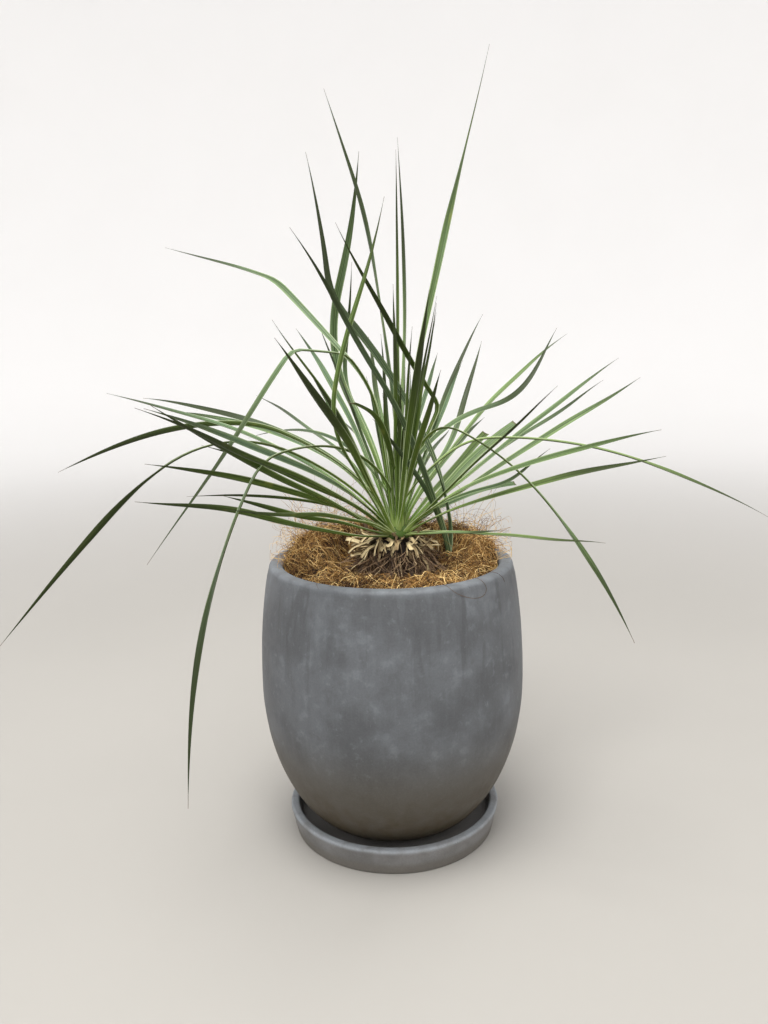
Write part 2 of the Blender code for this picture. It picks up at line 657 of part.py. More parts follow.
def build_trunk() -> None:
    """Trunk: a short buried stem whose top is set with the cut, dry bases of old blades."""
    outline = [
        (0.0, TRUNK_FOOT_Z),
        (TRUNK_RADIUS * 0.6, TRUNK_FOOT_Z),
        (TRUNK_RADIUS, TRUNK_FOOT_Z + 12.0 * MM),
        (TRUNK_RADIUS, TRUNK_TOP_Z - 16.0 * MM),
        (TRUNK_RADIUS - 3.0 * MM, TRUNK_TOP_Z),
        (0.0, TRUNK_TOP_Z),
    ]
    core = node("trunk_core", turned_mesh("trunk_core", outline, 20, Vector((PLANT_X, 0.0, 0.0))))
    draw = random.Random(8)
    stubs = []
    for order in range(STUB_COUNT):
        share = order / (STUB_COUNT - 1)
        heading = (GOLDEN_ANGLE * order) % 360.0
        facing_shoot = min(heading, 360.0 - heading) < 24.0
        length = STUB_SHORT if facing_shoot else draw.uniform(*STUB_LENGTH)
        lift = 4.0 + 24.0 * (1.0 - share) + draw.uniform(-5, 5)
        splay = 55.0 + draw.uniform(-12, 16)
        stub = Leaf(heading, length, lift, splay, draw.uniform(*STUB_WIDTH), cut=True)
        radius = TRUNK_RADIUS - 2.5 * MM
        level = TRUNK_TOP_Z - 14.0 * MM + 11.0 * MM * share
        angle = math.radians(heading)
        root = Vector((PLANT_X + radius * math.cos(angle), radius * math.sin(angle), level))
        stubs.append(blade_mesh(stub, root, STUB_SUNK, STUB_THICKNESS, 4))
    mesh = fused("trunk", core, stubs)
    node("trunk", mesh, material("dry_leaf_base", (0.45, 0.36, 0.24), 0.85))


def build_crown() -> None:
    """Crown: green blades that stand out of a short heart on the trunk's top."""
    low = TRUNK_TOP_Z + GAP
    outline = [
        (0.0, low),
        (HEART_RADIUS - 0.5 * MM, low),
        (HEART_RADIUS, low + HEART_RISE * 0.25),
        (HEART_RADIUS * 0.85, low + HEART_RISE * 0.55),
        (HEART_RADIUS * 0.5, low + HEART_RISE * 0.85),
        (0.0, low + HEART_RISE),
    ]
    heart = node("heart", turned_mesh("heart", outline, 16, Vector((PLANT_X, 0.0, 0.0))))
    blades = []
    for leaf in (*UPRIGHT_LEAVES, *RIGHT_LEAVES, *LEFT_LEAVES, *FILL_LEAVES, *young_leaves()):
        count = LONG_STATIONS if leaf.length > LONG_LEAF else SHORT_STATIONS
        root = root_of(leaf, HEART, ROOT_REACH, ROOT_RISE)
        blades.append(blade_mesh(leaf, root, ROOT_SUNK, BLADE_KEEL, count))
    mesh = fused("leaf_crown", heart, blades)
    node("leaf_crown", mesh, material("green_blade", (0.09, 0.2, 0.06), 0.5))


def build_side_shoot() -> None:
    """Side shoot: a thin stem that rises through the coir and carries a few blades."""
    outline = [
        (0.0, SHOOT_FOOT_Z),
        (SHOOT_RADIUS * 0.5, SHOOT_FOOT_Z),
        (SHOOT_RADIUS, SHOOT_FOOT_Z + 5.0 * MM),
        (SHOOT_RADIUS, SHOOT_BASE.z),
        (SHOOT_RADIUS * 0.6, SHOOT_BASE.z + SHOOT_CAP),
        (0.0, SHOOT_BASE.z + SHOOT_CAP + 1.0 * MM),
    ]
    centre = Vector((SHOOT_BASE.x, SHOOT_BASE.y, 0.0))
    stem = node("shoot_stem", turned_mesh("shoot_stem", outline, 12, centre))
    blades = []
    for leaf in SHOOT_LEAVES:
        root = root_of(leaf, SHOOT_BASE, 2.0 * MM, 3.0 * MM)
        blades.append(blade_mesh(leaf, root, 3.0 * MM, BLADE_KEEL, LONG_STATIONS + 1))
    mesh = fused("side_shoot", stem, blades)
    node("side_shoot", mesh, material("blue_green_blade", (0.07, 0.17, 0.09), 0.5))


def main() -> None:
    """Clear the scene and build every piece from the saucer up."""
    for old in list(bpy.data.objects):
        bpy.data.objects.remove(old)
    build_saucer()
    build_pot()
    build_drainage_mesh()
    build_soil()
    build_coir()
    build_trunk()
    build_crown()
    build_side_shoot()


main()
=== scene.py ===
"""Looks of a beaked yucca in its rounded cement pot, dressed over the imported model.

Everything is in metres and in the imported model's frame: the origin lies under the middle of the saucer,
+Z is up and -Y is the front. Each sub-assembly is a class that holds its own sizes, and main() builds
them from the saucer up. Angles are in degrees unless a name says otherwise.
"""
from __future__ import annotations

import logging
import math
import random
from collections.abc import Callable, Sequence
from dataclasses import dataclass, field
from enum import Enum

import bpy
from mathutils import Matrix, Vector, noise


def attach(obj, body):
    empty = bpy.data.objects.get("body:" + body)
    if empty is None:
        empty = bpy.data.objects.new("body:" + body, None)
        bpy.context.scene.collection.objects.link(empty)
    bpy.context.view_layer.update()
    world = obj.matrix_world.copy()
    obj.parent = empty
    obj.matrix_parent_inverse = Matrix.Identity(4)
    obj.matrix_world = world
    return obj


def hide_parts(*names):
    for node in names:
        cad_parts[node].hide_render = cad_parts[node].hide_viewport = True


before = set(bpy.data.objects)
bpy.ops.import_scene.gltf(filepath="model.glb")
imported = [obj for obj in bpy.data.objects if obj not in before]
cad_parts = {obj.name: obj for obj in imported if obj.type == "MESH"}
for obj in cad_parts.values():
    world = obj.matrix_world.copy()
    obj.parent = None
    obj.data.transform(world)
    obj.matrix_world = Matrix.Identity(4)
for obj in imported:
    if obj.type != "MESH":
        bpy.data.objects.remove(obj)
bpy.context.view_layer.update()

MM = 0.001
GOLDEN_ANGLE = 137.5
STRAY = 7.0
BLADE_MAP = "blade_map"

# The sunny side's bearing, and a blade's tone: its middle, the side's share and its floor, the spread. The
# side's share is painted light: blades heading towards the sunny side get a higher tone, which paints them
# lighter and less blue.
SUNNY_SIDE = -10.0
TONE_MIDDLE = 0.49
TONE_LIT = 0.20
TONE_LEAST_LIT = -0.3
TONE_SPREAD = 0.58

# Places round a blade's section, in half widths: five on top and three underneath
BLADE_ACROSS = (-1.0, -0.55, 0.0, 0.55, 1.0, 0.62, 0.0, -0.62)
FINE_STEPS = 4

log = logging.getLogger("potted_yucca")


class Node(Enum):
    """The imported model's nodes."""

    SAUCER = "saucer"
    POT = "pot"
    NET = "drainage_mesh"
    SOIL = "potting_soil"
    COIR = "coir_mulch"
    TRUNK = "trunk"
    CROWN = "leaf_crown"
    SHOOT = "side_shoot"


class Slot(Enum):
    """The record's material slots."""

    SAUCER = "saucer_cement"
    POT = "pot_cement"
    COIR = "coir_fibre"
    DRY_BASE = "dry_leaf_base"
    GREEN = "green_blade"
    BLUE_GREEN = "blue_green_blade"


def ease(share: float) -> float:
    """Ease a share between 0 and 1 in and out."""
    share = min(max(share, 0.0), 1.0)
    return share * share * (3.0 - 2.0 * share)


def polar(radius: float, degrees: float, height: float) -> Vector:
    """Give the point at a radius, a bearing from +X and a height."""
    angle = math.radians(degrees)
    return Vector((radius * math.cos(angle), radius * math.sin(angle), height))


class Signal:
    """Something that changes over a surface: an output socket, with the operators for its numbers."""

    def __init__(self, board: Board, socket: bpy.types.NodeSocket) -> None:
        """Hold a socket and the board that it belongs to."""
        self.board = board
        self.socket = socket

    def maths(self, operation: str, *values: Signal | float) -> Signal:
        """Add one Math node.

        Args:
            operation: the sum's name.
            values: what goes into it, in order.

        Returns:
            The node's result.
        """
        made = self.board.add("ShaderNodeMath", {"operation": operation}, dict(enumerate(values)))
        return Signal(self.board, made.outputs[0])

    def __add__(self, other: Signal | float) -> Signal:
        """Give the sum."""
        return self.maths("ADD", self, other)

    def __radd__(self, other: float) -> Signal:
        """Give the sum with a number on the left."""
        return self.maths("ADD", other, self)

    def __sub__(self, other: Signal | float) -> Signal:
        """Give the difference."""
        return self.maths("SUBTRACT", self, other)

    def __rsub__(self, other: float) -> Signal:
        """Give the difference from a number on the left."""
        return self.maths("SUBTRACT", other, self)

    def __mul__(self, other: Signal | float) -> Signal:
        """Give the product."""
        return self.maths("MULTIPLY", self, other)

    def __rmul__(self, other: float) -> Signal:
        """Give the product with a number on the left."""
        return self.maths("MULTIPLY", other, self)

    def clipped(self) -> Signal:
        """Hold the value between 0 and 1."""
        return self.maths("MINIMUM", self.maths("MAXIMUM", self, 0.0), 1.0)

    def greater(self, other: Signal | float) -> Signal:
        """Give the larger of two values."""
        return self.maths("MAXIMUM", self, other)

    def over(self, edge: float) -> Signal:
        """Give 1 where the value is over an edge, and 0 elsewhere."""
        return self.maths("GREATER_THAN", self, edge)

    def rise(self, low: float, high: float) -> Signal:
        """Ease from 0 at a low value to 1 at a high one.

        Args:
            low: the value that gives 0; it may be the larger of the two.
            high: the value that gives 1.

        Returns:
            The eased share.
        """
        settings = {"interpolation_type": "SMOOTHSTEP"}
        if low <= high:
            made = self.board.add("ShaderNodeMapRange", settings, {0: self, 1: low, 2: high})
            return Signal(self.board, made.outputs[0])
        made = self.board.add("ShaderNodeMapRange", settings, {0: self, 1: high, 2: low})
        return 1.0 - Signal(self.board, made.outputs[0])


class Board:
    """The node tree of one finish, on which every node is put by add()."""

    def __init__(self, name: str) -> None:
        """Start a material whose Principled shader is ready to be fed.

        Args:
            name: the material's name.
        """
        self.material = bpy.data.materials.new(name)
        self.material.use_nodes = True
        self.tree = self.material.node_tree
        self.shader = self.tree.nodes["Principled BSDF"]

    def add(self, kind: str, settings: dict, feeds: dict) -> bpy.types.Node:
        """Put a node on the tree.

        Args:
            kind: the node's type.
            settings: its own settings, set first; "stops" holds a ramp's (place, colour) pairs.
            feeds: the value or the link of each socket, by name or number.

        Returns:
            The node.
        """
        made = self.tree.nodes.new(kind)
        for name, value in settings.items():
            if name == "stops":
                self.set_stops(made.color_ramp, value)
            else:
                setattr(made, name, value)
        for socket, value in feeds.items():
            self.feed(made.inputs[socket], value)
        return made

    @staticmethod
    def set_stops(ramp: bpy.types.ColorRamp, stops: Sequence[tuple[float, tuple]]) -> None:
        """Give a ramp its stops.

        Args:
            ramp: a new ramp, which has two stops.
            stops: the place and the colour of each stop.
        """
        while len(ramp.elements) < len(stops):
            ramp.elements.new(1.0)
        for element, (place, colour) in zip(ramp.elements, stops):
            element.position = place
            element.color = (*colour, 1.0)

    def feed(self, socket: bpy.types.NodeSocket, value: object) -> None:
        """Link a socket, or set its value.

        Args:
            socket: the socket that takes it.
            value: a signal, a number, or a colour or vector as a tuple.
        """
        if isinstance(value, Signal):
            self.tree.links.new(value.socket, socket)
        elif isinstance(value, tuple) and socket.type == "RGBA":
            socket.default_value = (*value, 1.0)
        else:
            socket.default_value = value

    def place(self) -> Signal:
        """Give the piece's own coordinates, which are metres in the shared frame."""
        return Signal(self, self.add("ShaderNodeTexCoord", {}, {}).outputs["Object"])

    def guide(self, name: str) -> Signal:
        """Give a number that the mesh carries at its points."""
        return Signal(self, self.add("ShaderNodeAttribute", {"attribute_name": name}, {}).outputs["Fac"])

    def parts(self, where: Signal) -> tuple[Signal, Signal, Signal]:
        """Split a place into its three numbers."""
        made = self.add("ShaderNodeSeparateXYZ", {}, {0: where})
        return tuple(Signal(self, output) for output in made.outputs)

    def joined(self, x: Signal | float, y: Signal | float, z: Signal | float) -> Signal:
        """Join three numbers into a place."""
        return Signal(self, self.add("ShaderNodeCombineXYZ", {}, {0: x, 1: y, 2: z}).outputs[0])

    def blade_map(self) -> tuple[Signal, Signal]:
        """Give where a point lies across and along its blade: 0 to 1 on top and 1 to 2 underneath."""
        made = self.add("ShaderNodeUVMap", {"uv_map": BLADE_MAP}, {})
        return self.parts(Signal(self, made.outputs[0]))[:2]

    def stretched(self, where: Signal, x: float, y: float, z: float) -> Signal:
        """Stretch a place by three factors.

        Args:
            where: the place.
            x: factor along X.
            y: factor along Y.
            z: factor along Z.

        Returns:
            The stretched place.
        """
        made = self.add("ShaderNodeVectorMath", {"operation": "MULTIPLY"}, {0: where, 1: (x, y, z)})
        return Signal(self, made.outputs[0])

    def mottle(self, where: Signal, size: float, detail: float = 4.0, warp: float = 0.0) -> Signal:
        """Give uneven spots between about 0.3 and 0.7.

        Args:
            where: the place.
            size: rough size of a spot, in the place's own unit.
            detail: how many finer layers it has.
            warp: how far the spots are dragged.

        Returns:
            The value.
        """
        feeds = {"Vector": where, "Scale": 1.0 / size, "Detail": detail, "Distortion": warp}
        return Signal(self, self.add("ShaderNodeTexNoise", {}, feeds).outputs[0])

    def pits(self, where: Signal, size: float) -> Signal:
        """Give the distance to the nearest of many scattered points, in sizes."""
        feeds = {"Vector": where, "Scale": 1.0 / size}
        return Signal(self, self.add("ShaderNodeTexVoronoi", {}, feeds).outputs["Distance"])

    def mix(self, share: Signal | float, low: object, high: object, blend: str = "MIX") -> Signal:
        """Mix two colours.

        Args:
            share: how much of the second one shows.
            low: the first colour.
            high: the second colour.
            blend: how they mix.

        Returns:
            The mixed colour.
        """
        settings = {"data_type": "RGBA", "blend_type": blend}
        made = self.add("ShaderNodeMix", settings, {0: share, 6: low, 7: high})
        return Signal(self, made.outputs[2])

    def layered(self, colour: object, *layers: tuple[Signal | float, object]) -> Signal:
        """Lay colours over one another.

        Args:
            colour: the lowest colour.
            layers: for each next one, how much of it shows, and the colour.

        Returns:
            The mixed colour.
        """
        for share, over in layers:
            colour = self.mix(share, colour, over)
        return colour

    def ramp(self, value: Signal, *stops: tuple[float, tuple]) -> Signal:
        """Run a value through colours.

        Args:
            value: what picks the colour.
            stops: the place and the colour of each stop.

        Returns:
            The colour.
        """
        made = self.add("ShaderNodeValToRGB", {"stops": stops}, {0: value})
        return Signal(self, made.outputs[0])

    def relief(self, height: Signal, depth: float, strength: float = 1.0) -> Signal:
        """Turn a height into a bumped normal.

        Args:
            height: the height, about 0 to 1.
            depth: metres that a height of 1 stands for.
            strength: how much of it shows.

        Returns:
            The normal.
        """
        feeds = {"Height": height, "Distance": depth, "Strength": strength}
        return Signal(self, self.add("ShaderNodeBump", {}, feeds).outputs[0])

    def finish(
        self, colour: Signal, roughness: Signal | float, normal: Signal | None = None
    ) -> bpy.types.Material:
        """Feed the shader.

        Args:
            colour: base colour.
            roughness: roughness.
            normal: bumped normal, if there is one.

        Returns:
            The finished material.
        """
        self.feed(self.shader.inputs["Base Color"], colour)
        self.feed(self.shader.inputs["Roughness"], roughness)
        if normal is not None:
            self.feed(self.shader.inputs["Normal"], normal)
        return self.material


@dataclass(frozen=True)
class CementFinish:
    """Hand-rubbed blue-grey cement: clouds, streaks from the rim, pale rubs, a rim that wears pale with a
    painted highlight, and a warm dark foot of painted shade, with wet dirt too on a dish's floor.
    """

    name: str
    body: tuple = (0.116, 0.124, 0.135)
    pale: tuple = (0.186, 0.202, 0.220)
    dark: tuple = (0.068, 0.071, 0.076)
    # warm and tan: the painted shade that darkens the foot, tinted warm
    warm: tuple = (0.056, 0.042, 0.022)
    tan: tuple = (0.118, 0.106, 0.084)
    # edge: the rim's pale colour, partly wear and partly a painted highlight
    edge: tuple = (0.180, 0.197, 0.214)
    grains: tuple = (0.30, 0.31, 0.32)
    edge_from: float = 214.0 * MM
    edge_to: float = 220.0 * MM
    # Heights where the darkening towards the foot starts and where it is full: painted shade, and on a dish's
    # floor wet dirt too
    damp_and_shade_below: float = 120.0 * MM
    damp_and_shade_full: float = 22.0 * MM
    streaked: float = 1.0

    def dressed(self) -> bpy.types.Material:
        """Build the material.

        Returns:
            The finished material.
        """
        board = Board(self.name)
        where = board.place()
        height = board.parts(where)[2]
        clouds = board.mottle(where, 40 * MM, 3.0, 0.1)
        patches = board.mottle(board.stretched(where, 1.0, 1.0, 0.85), 11 * MM, 6.0, 0.15)
        rubs = board.mottle(where, 5 * MM, 5.0, 0.2)
        grain = board.mottle(where, 1.3 * MM, 3.0)
        runs = board.mottle(board.stretched(where, 1.0, 1.0, 0.05), 13 * MM, 3.0, 0.2)
        brush = board.mottle(board.stretched(where, 1.0, 1.0, 0.10), 3.4 * MM, 2.0)
        scratch = board.mottle(board.stretched(where, 1.0, 1.0, 0.45), 2.6 * MM, 4.0, 1.6)
        fleck = board.pits(where, 5.0 * MM).rise(0.09, 0.04)
        near_rim = height.rise(self.edge_from - 110 * MM, self.edge_from - 10 * MM) * self.streaked
        # Darker and warmer towards the foot, in patches: painted shade, and on a dish's floor wet dirt too
        damp_and_shade = height.rise(self.damp_and_shade_below, self.damp_and_shade_full)
        patchy = (damp_and_shade * 0.92 + (clouds - 0.5) * damp_and_shade * 0.6 + (patches - 0.5) * damp_and_shade * 0.6).clipped()
        # The rim top is lighter: partly wear, partly a painted highlight
        rim_wear_and_highlight = height.rise(self.edge_from, self.edge_to)
        rim_rub_and_highlight = (rim_wear_and_highlight * 0.9 - patches.rise(0.58, 0.36) * rim_wear_and_highlight * 0.5).clipped()
        colour = board.layered(
            board.mix(0.68, self.body, self.dark),
            (clouds.rise(0.34, 0.62), self.body),
            (patches.rise(0.50, 0.74) * clouds.rise(0.36, 0.58) * 0.58, self.pale),
            (patches.rise(0.47, 0.30) * 0.40, self.dark),
            (rubs.rise(0.54, 0.72) * patches.rise(0.42, 0.60) * 0.40, self.pale),
            (runs.rise(0.53, 0.62) * near_rim * 0.70, self.dark),
            (runs.rise(0.45, 0.34) * near_rim * 0.16, self.pale),
            (brush.rise(0.50, 0.72) * 0.08, self.pale),
            (scratch.rise(0.60, 0.70) * rubs.rise(0.44, 0.62) * 0.34, self.pale),
            # Painted shade towards the foot
            (damp_and_shade.rise(0.0, 0.6) * 0.45, self.tan),
            (patchy, self.warm),
            # Pale rim: wear and a painted highlight
            (rim_rub_and_highlight * 0.75, self.edge),
            (fleck * 0.4, self.dark),
        )
        colour = board.mix(grain.rise(0.35, 0.65) * 0.24, colour, self.grains, "OVERLAY")
        hole = board.pits(board.stretched(where, 1.0, 1.0, 0.8), 12 * MM).rise(0.06, 0.03)
        level = grain * 0.40 + patches * 0.45 + brush * 0.20 + rubs * 0.25 - hole * 1.2
        normal = board.relief(level, 0.35 * MM, 0.6)
        roughness = 0.60 + (patches - 0.5) * 0.35 + rim_wear_and_highlight * 0.05
        return board.finish(colour, roughness, normal)


@dataclass(frozen=True)
class SoilFinish:
    """Composted bark and peat: dark crumbs with a few pale bits."""

    name: str = "bark_and_peat"

    def dressed(self) -> bpy.types.Material:
        """Build the material.

        Returns:
            The finished material.
        """
        board = Board(self.name)
        where = board.place()
        crumbs = board.pits(where, 3.2 * MM)
        lumps = board.mottle(where, 9 * MM, 5.0, 0.8)
        bits = board.pits(where, 12 * MM).rise(0.20, 0.12)
        dark, light, bark = (0.016, 0.010, 0.006), (0.060, 0.036, 0.020), (0.17, 0.10, 0.05)
        colour = board.mix(lumps.rise(0.36, 0.64), dark, light)
        colour = board.mix(bits * 0.8, colour, bark)
        normal = board.relief(1.0 - crumbs + lumps * 0.6, 1.4 * MM, 0.9)
        return board.finish(colour, 0.88 + (lumps - 0.5) * 0.2, normal)


@dataclass(frozen=True)
class NetFinish:
    """Dark moulded net over the drain hole, its square holes drawn as sunk black cells."""

    name: str = "moulded_net"
    pitch: float = 2.6 * MM

    def dressed(self) -> bpy.types.Material:
        """Build the material.

        Returns:
            The finished material.
        """
        board = Board(self.name)
        x, y, _ = board.parts(board.place())
        bar_x = x.maths("PINGPONG", x, self.pitch / 2).rise(self.pitch * 0.17, self.pitch * 0.12)
        bar_y = y.maths("PINGPONG", y, self.pitch / 2).rise(self.pitch * 0.17, self.pitch * 0.12)
        bars = bar_x.greater(bar_y)
        colour = board.mix(bars, (0.004, 0.005, 0.004), (0.020, 0.045, 0.028))
        return board.finish(colour, 0.7 - bars * 0.25, board.relief(bars, 0.5 * MM))


@dataclass(frozen=True)
class FibreFinish:
    """Coir strand: from dark brown through golden brown to pale straw, strand by strand."""

    name: str = "coir_strand"
    dark: tuple = (0.026, 0.011, 0.003)
    brown: tuple = (0.165, 0.075, 0.017)
    golden: tuple = (0.440, 0.235, 0.056)
    straw: tuple = (0.960, 0.690, 0.290)

    def dressed(self) -> bpy.types.Material:
        """Build the material.

        Returns:
            The finished material.
        """
        board = Board(self.name)
        tone = board.guide("tone")
        patch = board.mottle(board.place(), 7 * MM, 2.0)
        picked = (tone + (patch - 0.5) * 0.35).clipped()
        stops = ((0.0, self.dark), (0.32, self.brown), (0.66, self.golden), (1.0, self.straw))
        return board.finish(board.ramp(picked, *stops), 0.62 + (1.0 - tone) * 0.2)


@dataclass(frozen=True)
class FeltFinish:
    """Packed coir under the loose strands: matted brown with dark gaps, painted shade under the strands."""

    name: str = "packed_coir"

    def dressed(self) -> bpy.types.Material:
        """Build the material.

        Returns:
            The finished material.
        """
        board = Board(self.name)
        where = board.place()
        one_way = board.mottle(board.stretched(where, 1.0, 0.16, 0.3), 0.9 * MM, 2.0, 2.2)
        other_way = board.mottle(board.stretched(where, 0.16, 1.0, 0.3), 0.9 * MM, 2.0, 2.2)
        matted = one_way.greater(other_way)
        gaps = board.mottle(where, 6 * MM, 3.0)
        dark, mid, light = (0.016, 0.007, 0.003), (0.085, 0.038, 0.011), (0.250, 0.125, 0.035)
        colour = board.ramp(matted.rise(0.40, 0.72), (0.0, dark), (0.5, mid), (1.0, light))
        # Painted shade in the dark gaps
        colour = board.mix(gaps.rise(0.52, 0.36) * 0.6, colour, dark)
        return board.finish(colour, 0.85 + (gaps - 0.5) * 0.2, board.relief(matted, 1.2 * MM, 0.9))


@dataclass(frozen=True)
class BladeFinish:
    """Waxy leaf: fresh near the heart, bluer along the top, with a pale thin edge that is partly a painted
    highlight, and painted shade: darker olive underneath, on blades turned from the sunny side, along the
    top's groove and over the outer part.
    """

    name: str
    fresh: tuple = (0.225, 0.390, 0.040)
    top: tuple = (0.128, 0.192, 0.056)
    top_blue: tuple = (0.100, 0.168, 0.122)
    # under: painted shade, the darker olive of the underside
    under: tuple = (0.064, 0.106, 0.013)
    # edge: the pale margin, partly a painted highlight
    edge: tuple = (0.680, 0.760, 0.480)
    shaded: tuple = (0.026, 0.048, 0.008)
    # The next colour paints shade over a blade's outer part
    outer_shade_tint: tuple = (0.022, 0.030, 0.008)
    dark: tuple = (0.010, 0.021, 0.002)
    tip: tuple = (0.090, 0.050, 0.020)
    streak: tuple = (0.50, 0.65, 0.27)
    spot: tuple = (0.33, 0.33, 0.07)
    foot: tuple = (0.50, 0.60, 0.22)
    fresh_until: float = 0.34
    pale_foot: float = 0.6

    def dressed(self) -> bpy.types.Material:
        """Build the material.

        Returns:
            The finished material.
        """
        board = Board(self.name)
        across, along = board.blade_map()
        share = board.guide("share")
        tone = board.guide("tone")
        cut = board.guide("cut")
        beneath = across.over(1.0)
        inward = across.maths("PINGPONG", across, 0.5)
        lines = board.mottle(board.joined(across * 20.0, along * 9.0, tone * 37.0), 1.0, 2.0)
        bands = board.mottle(board.joined(across * 1.5, along * 22.0, tone * 61.0), 1.0, 2.0)
        blotch = board.mottle(board.joined(tone * 50.0, along * 55.0, across), 1.0, 3.0)
        bluish = (1.15 - tone * 1.3 + (bands - 0.5) * 0.5).clipped()
        # shade: painted shade, strongest on blades of low tone
        shade = (tone * 1.1 + (bands - 0.5) * 0.7).rise(0.80, 0.10)
        nearness = (1.0 - share.rise(0.02, self.fresh_until)) * (0.86 - beneath * 0.36 - shade * 0.45)
        streaks = lines.rise(0.52, 0.66) * (0.68 - share.rise(0.10, 0.55) * 0.46 - beneath * 0.16)
        # middle: painted shade along the groove down the middle of the top
        middle = inward.rise(0.42, 0.49) * (1.0 - beneath)
        # The pale margin fades outwards; partly the margin's own colour, partly a painted highlight
        rim = inward.rise(0.125, 0.055) * (0.95 - share * 1.05).clipped()
        onset = tone.maths("FRACT", tone * 17.0)
        # Painted shade: the outer part darkens from a point that varies blade to blade
        outer_shade = (share + (onset - 0.5) * 0.36 + (blotch - 0.5) * 0.1).rise(0.54, 0.86) * (1.0 - cut)
        sere = (share + (blotch - 0.5) * 0.04).rise(0.975, 0.995) * (1.0 - cut)
        browned = (share + (blotch - 0.5) * 0.02).rise(0.985, 0.995) * cut
        body = board.layered(
            board.mix(bluish, self.top, self.top_blue),
            # The underside painted darker olive as shade
            (beneath, self.under),
            # Painted shade on blades of low tone
            (shade * (0.72 - beneath * 0.30), self.shaded),
            (nearness, self.fresh),
            (streaks, self.streak),
            (lines.rise(0.48, 0.34) * 0.72, self.dark),
            (blotch.rise(0.60, 0.80) * 0.30, self.spot),
            # Painted shade in the groove
            (middle * 0.55, self.dark),
            # Pale margin, partly a painted highlight
            (rim, self.edge),
            # Painted shade over the outer part
            (outer_shade * 0.86, self.outer_shade_tint),
            (sere.greater(browned * 0.6), self.tip),
            (share.rise(0.05, 0.0) * self.pale_foot, self.foot),
        )
        level = lines * 0.8 + bands * 0.2
        board.feed(board.shader.inputs["Specular IOR Level"], 0.2)
        roughness = 0.45 + beneath * 0.10 + (blotch - 0.5) * 0.25
        return board.finish(body, roughness, board.relief(level, 0.16 * MM, 0.6))


@dataclass(frozen=True)
class DryBaseFinish:
    """Dry leaf base: cream where the sun bleached it, grey-brown below, with torn lengthwise lines; painted
    shade darkens the underside and the half near the trunk.
    """

    name: str = "dry_base"
    cream: tuple = (0.820, 0.670, 0.380)
    straw: tuple = (0.470, 0.335, 0.165)
    brown: tuple = (0.100, 0.058, 0.028)
    dark: tuple = (0.014, 0.008, 0.004)

    def dressed(self) -> bpy.types.Material:
        """Build the material.

        Returns:
            The finished material.
        """
        board = Board(self.name)
        across, along = board.blade_map()
        share = board.guide("share")
        tone = board.guide("tone")
        beneath = across.over(1.0)
        lines = board.mottle(board.joined(across * 18.0, along * 60.0, tone * 41.0), 1.0, 3.0)
        stain = board.mottle(board.joined(across * 2.0, along * 190.0, tone * 23.0), 1.0, 3.0)
        picked = (tone * 0.85 + (stain - 0.5) * 0.8).clipped()
        stops = ((0.0, self.brown), (0.40, self.straw), (0.85, self.cream))
        colour = board.layered(
            board.ramp(picked, *stops),
            # Painted shade: the underside goes brown
            (beneath * 0.72, self.brown),
            (lines.rise(0.50, 0.30) * 0.55, self.brown),
            # Painted shade towards the trunk: the half nearest it darkens
            (share.rise(0.50, 0.06) * 0.88, self.dark),
            (share.rise(0.93, 1.0) * 0.55, self.brown),
        )
        return board.finish(colour, 0.72 + (stain - 0.5) * 0.2, board.relief(lines, 0.35 * MM, 0.8))


@dataclass(frozen=True)
class BarkFinish:
    """Trunk skin: dark, cracked into small plates, with fibrous lines that run down it."""

    name: str = "trunk_bark"

    def dressed(self) -> bpy.types.Material:
        """Build the material.

        Returns:
            The finished material.
        """
        board = Board(self.name)
        where = board.place()
        lines = board.mottle(board.stretched(where, 1.0, 1.0, 0.2), 1.8 * MM, 4.0, 1.0)
        plates = board.pits(where, 5 * MM)
        dark, light = (0.010, 0.006, 0.004), (0.070, 0.042, 0.024)
        colour = board.mix(lines.rise(0.45, 0.70), dark, light)
        colour = board.mix(plates.rise(0.30, 0.55) * 0.6, colour, dark)
        return board.finish(colour, 0.86 + (lines - 0.5) * 0.2, board.relief(lines - plates * 0.5, 1.6 * MM))


@dataclass(frozen=True)
class FloorFinish:
    """Plain pale floor, darker near the pot; further out it is painted lighter and glows, which is painted
    light.
    """

    name: str = "pale_floor"
    low: tuple = (0.37, 0.355, 0.33)
    high: tuple = (0.80, 0.79, 0.78)
    stain: tuple = (0.58, 0.56, 0.53)
    glow: float = 0.20

    def dressed(self) -> bpy.types.Material:
        """Build the material.

        Returns:
            The finished material.
        """
        board = Board(self.name)
        where = board.place()
        soft = board.mottle(where, 0.4, 3.0)
        x, y, _ = board.parts(where)
        square = x * x + y * y
        # Lighter further from the pot: painted light
        away = square.maths("SQRT", square).rise(0.5, 3.2)
        colour = board.layered(self.low, (away, self.high), (soft.rise(0.3, 0.7) * 0.05, self.stain))
        # Painted light: the floor glows more the further it lies from the pot
        board.feed(board.shader.inputs["Emission Color"], board.mix(away, (0.0, 0.0, 0.0), self.high))
        board.feed(board.shader.inputs["Emission Strength"], self.glow)
        return board.finish(colour, 0.75 + (soft - 0.5) * 0.1)


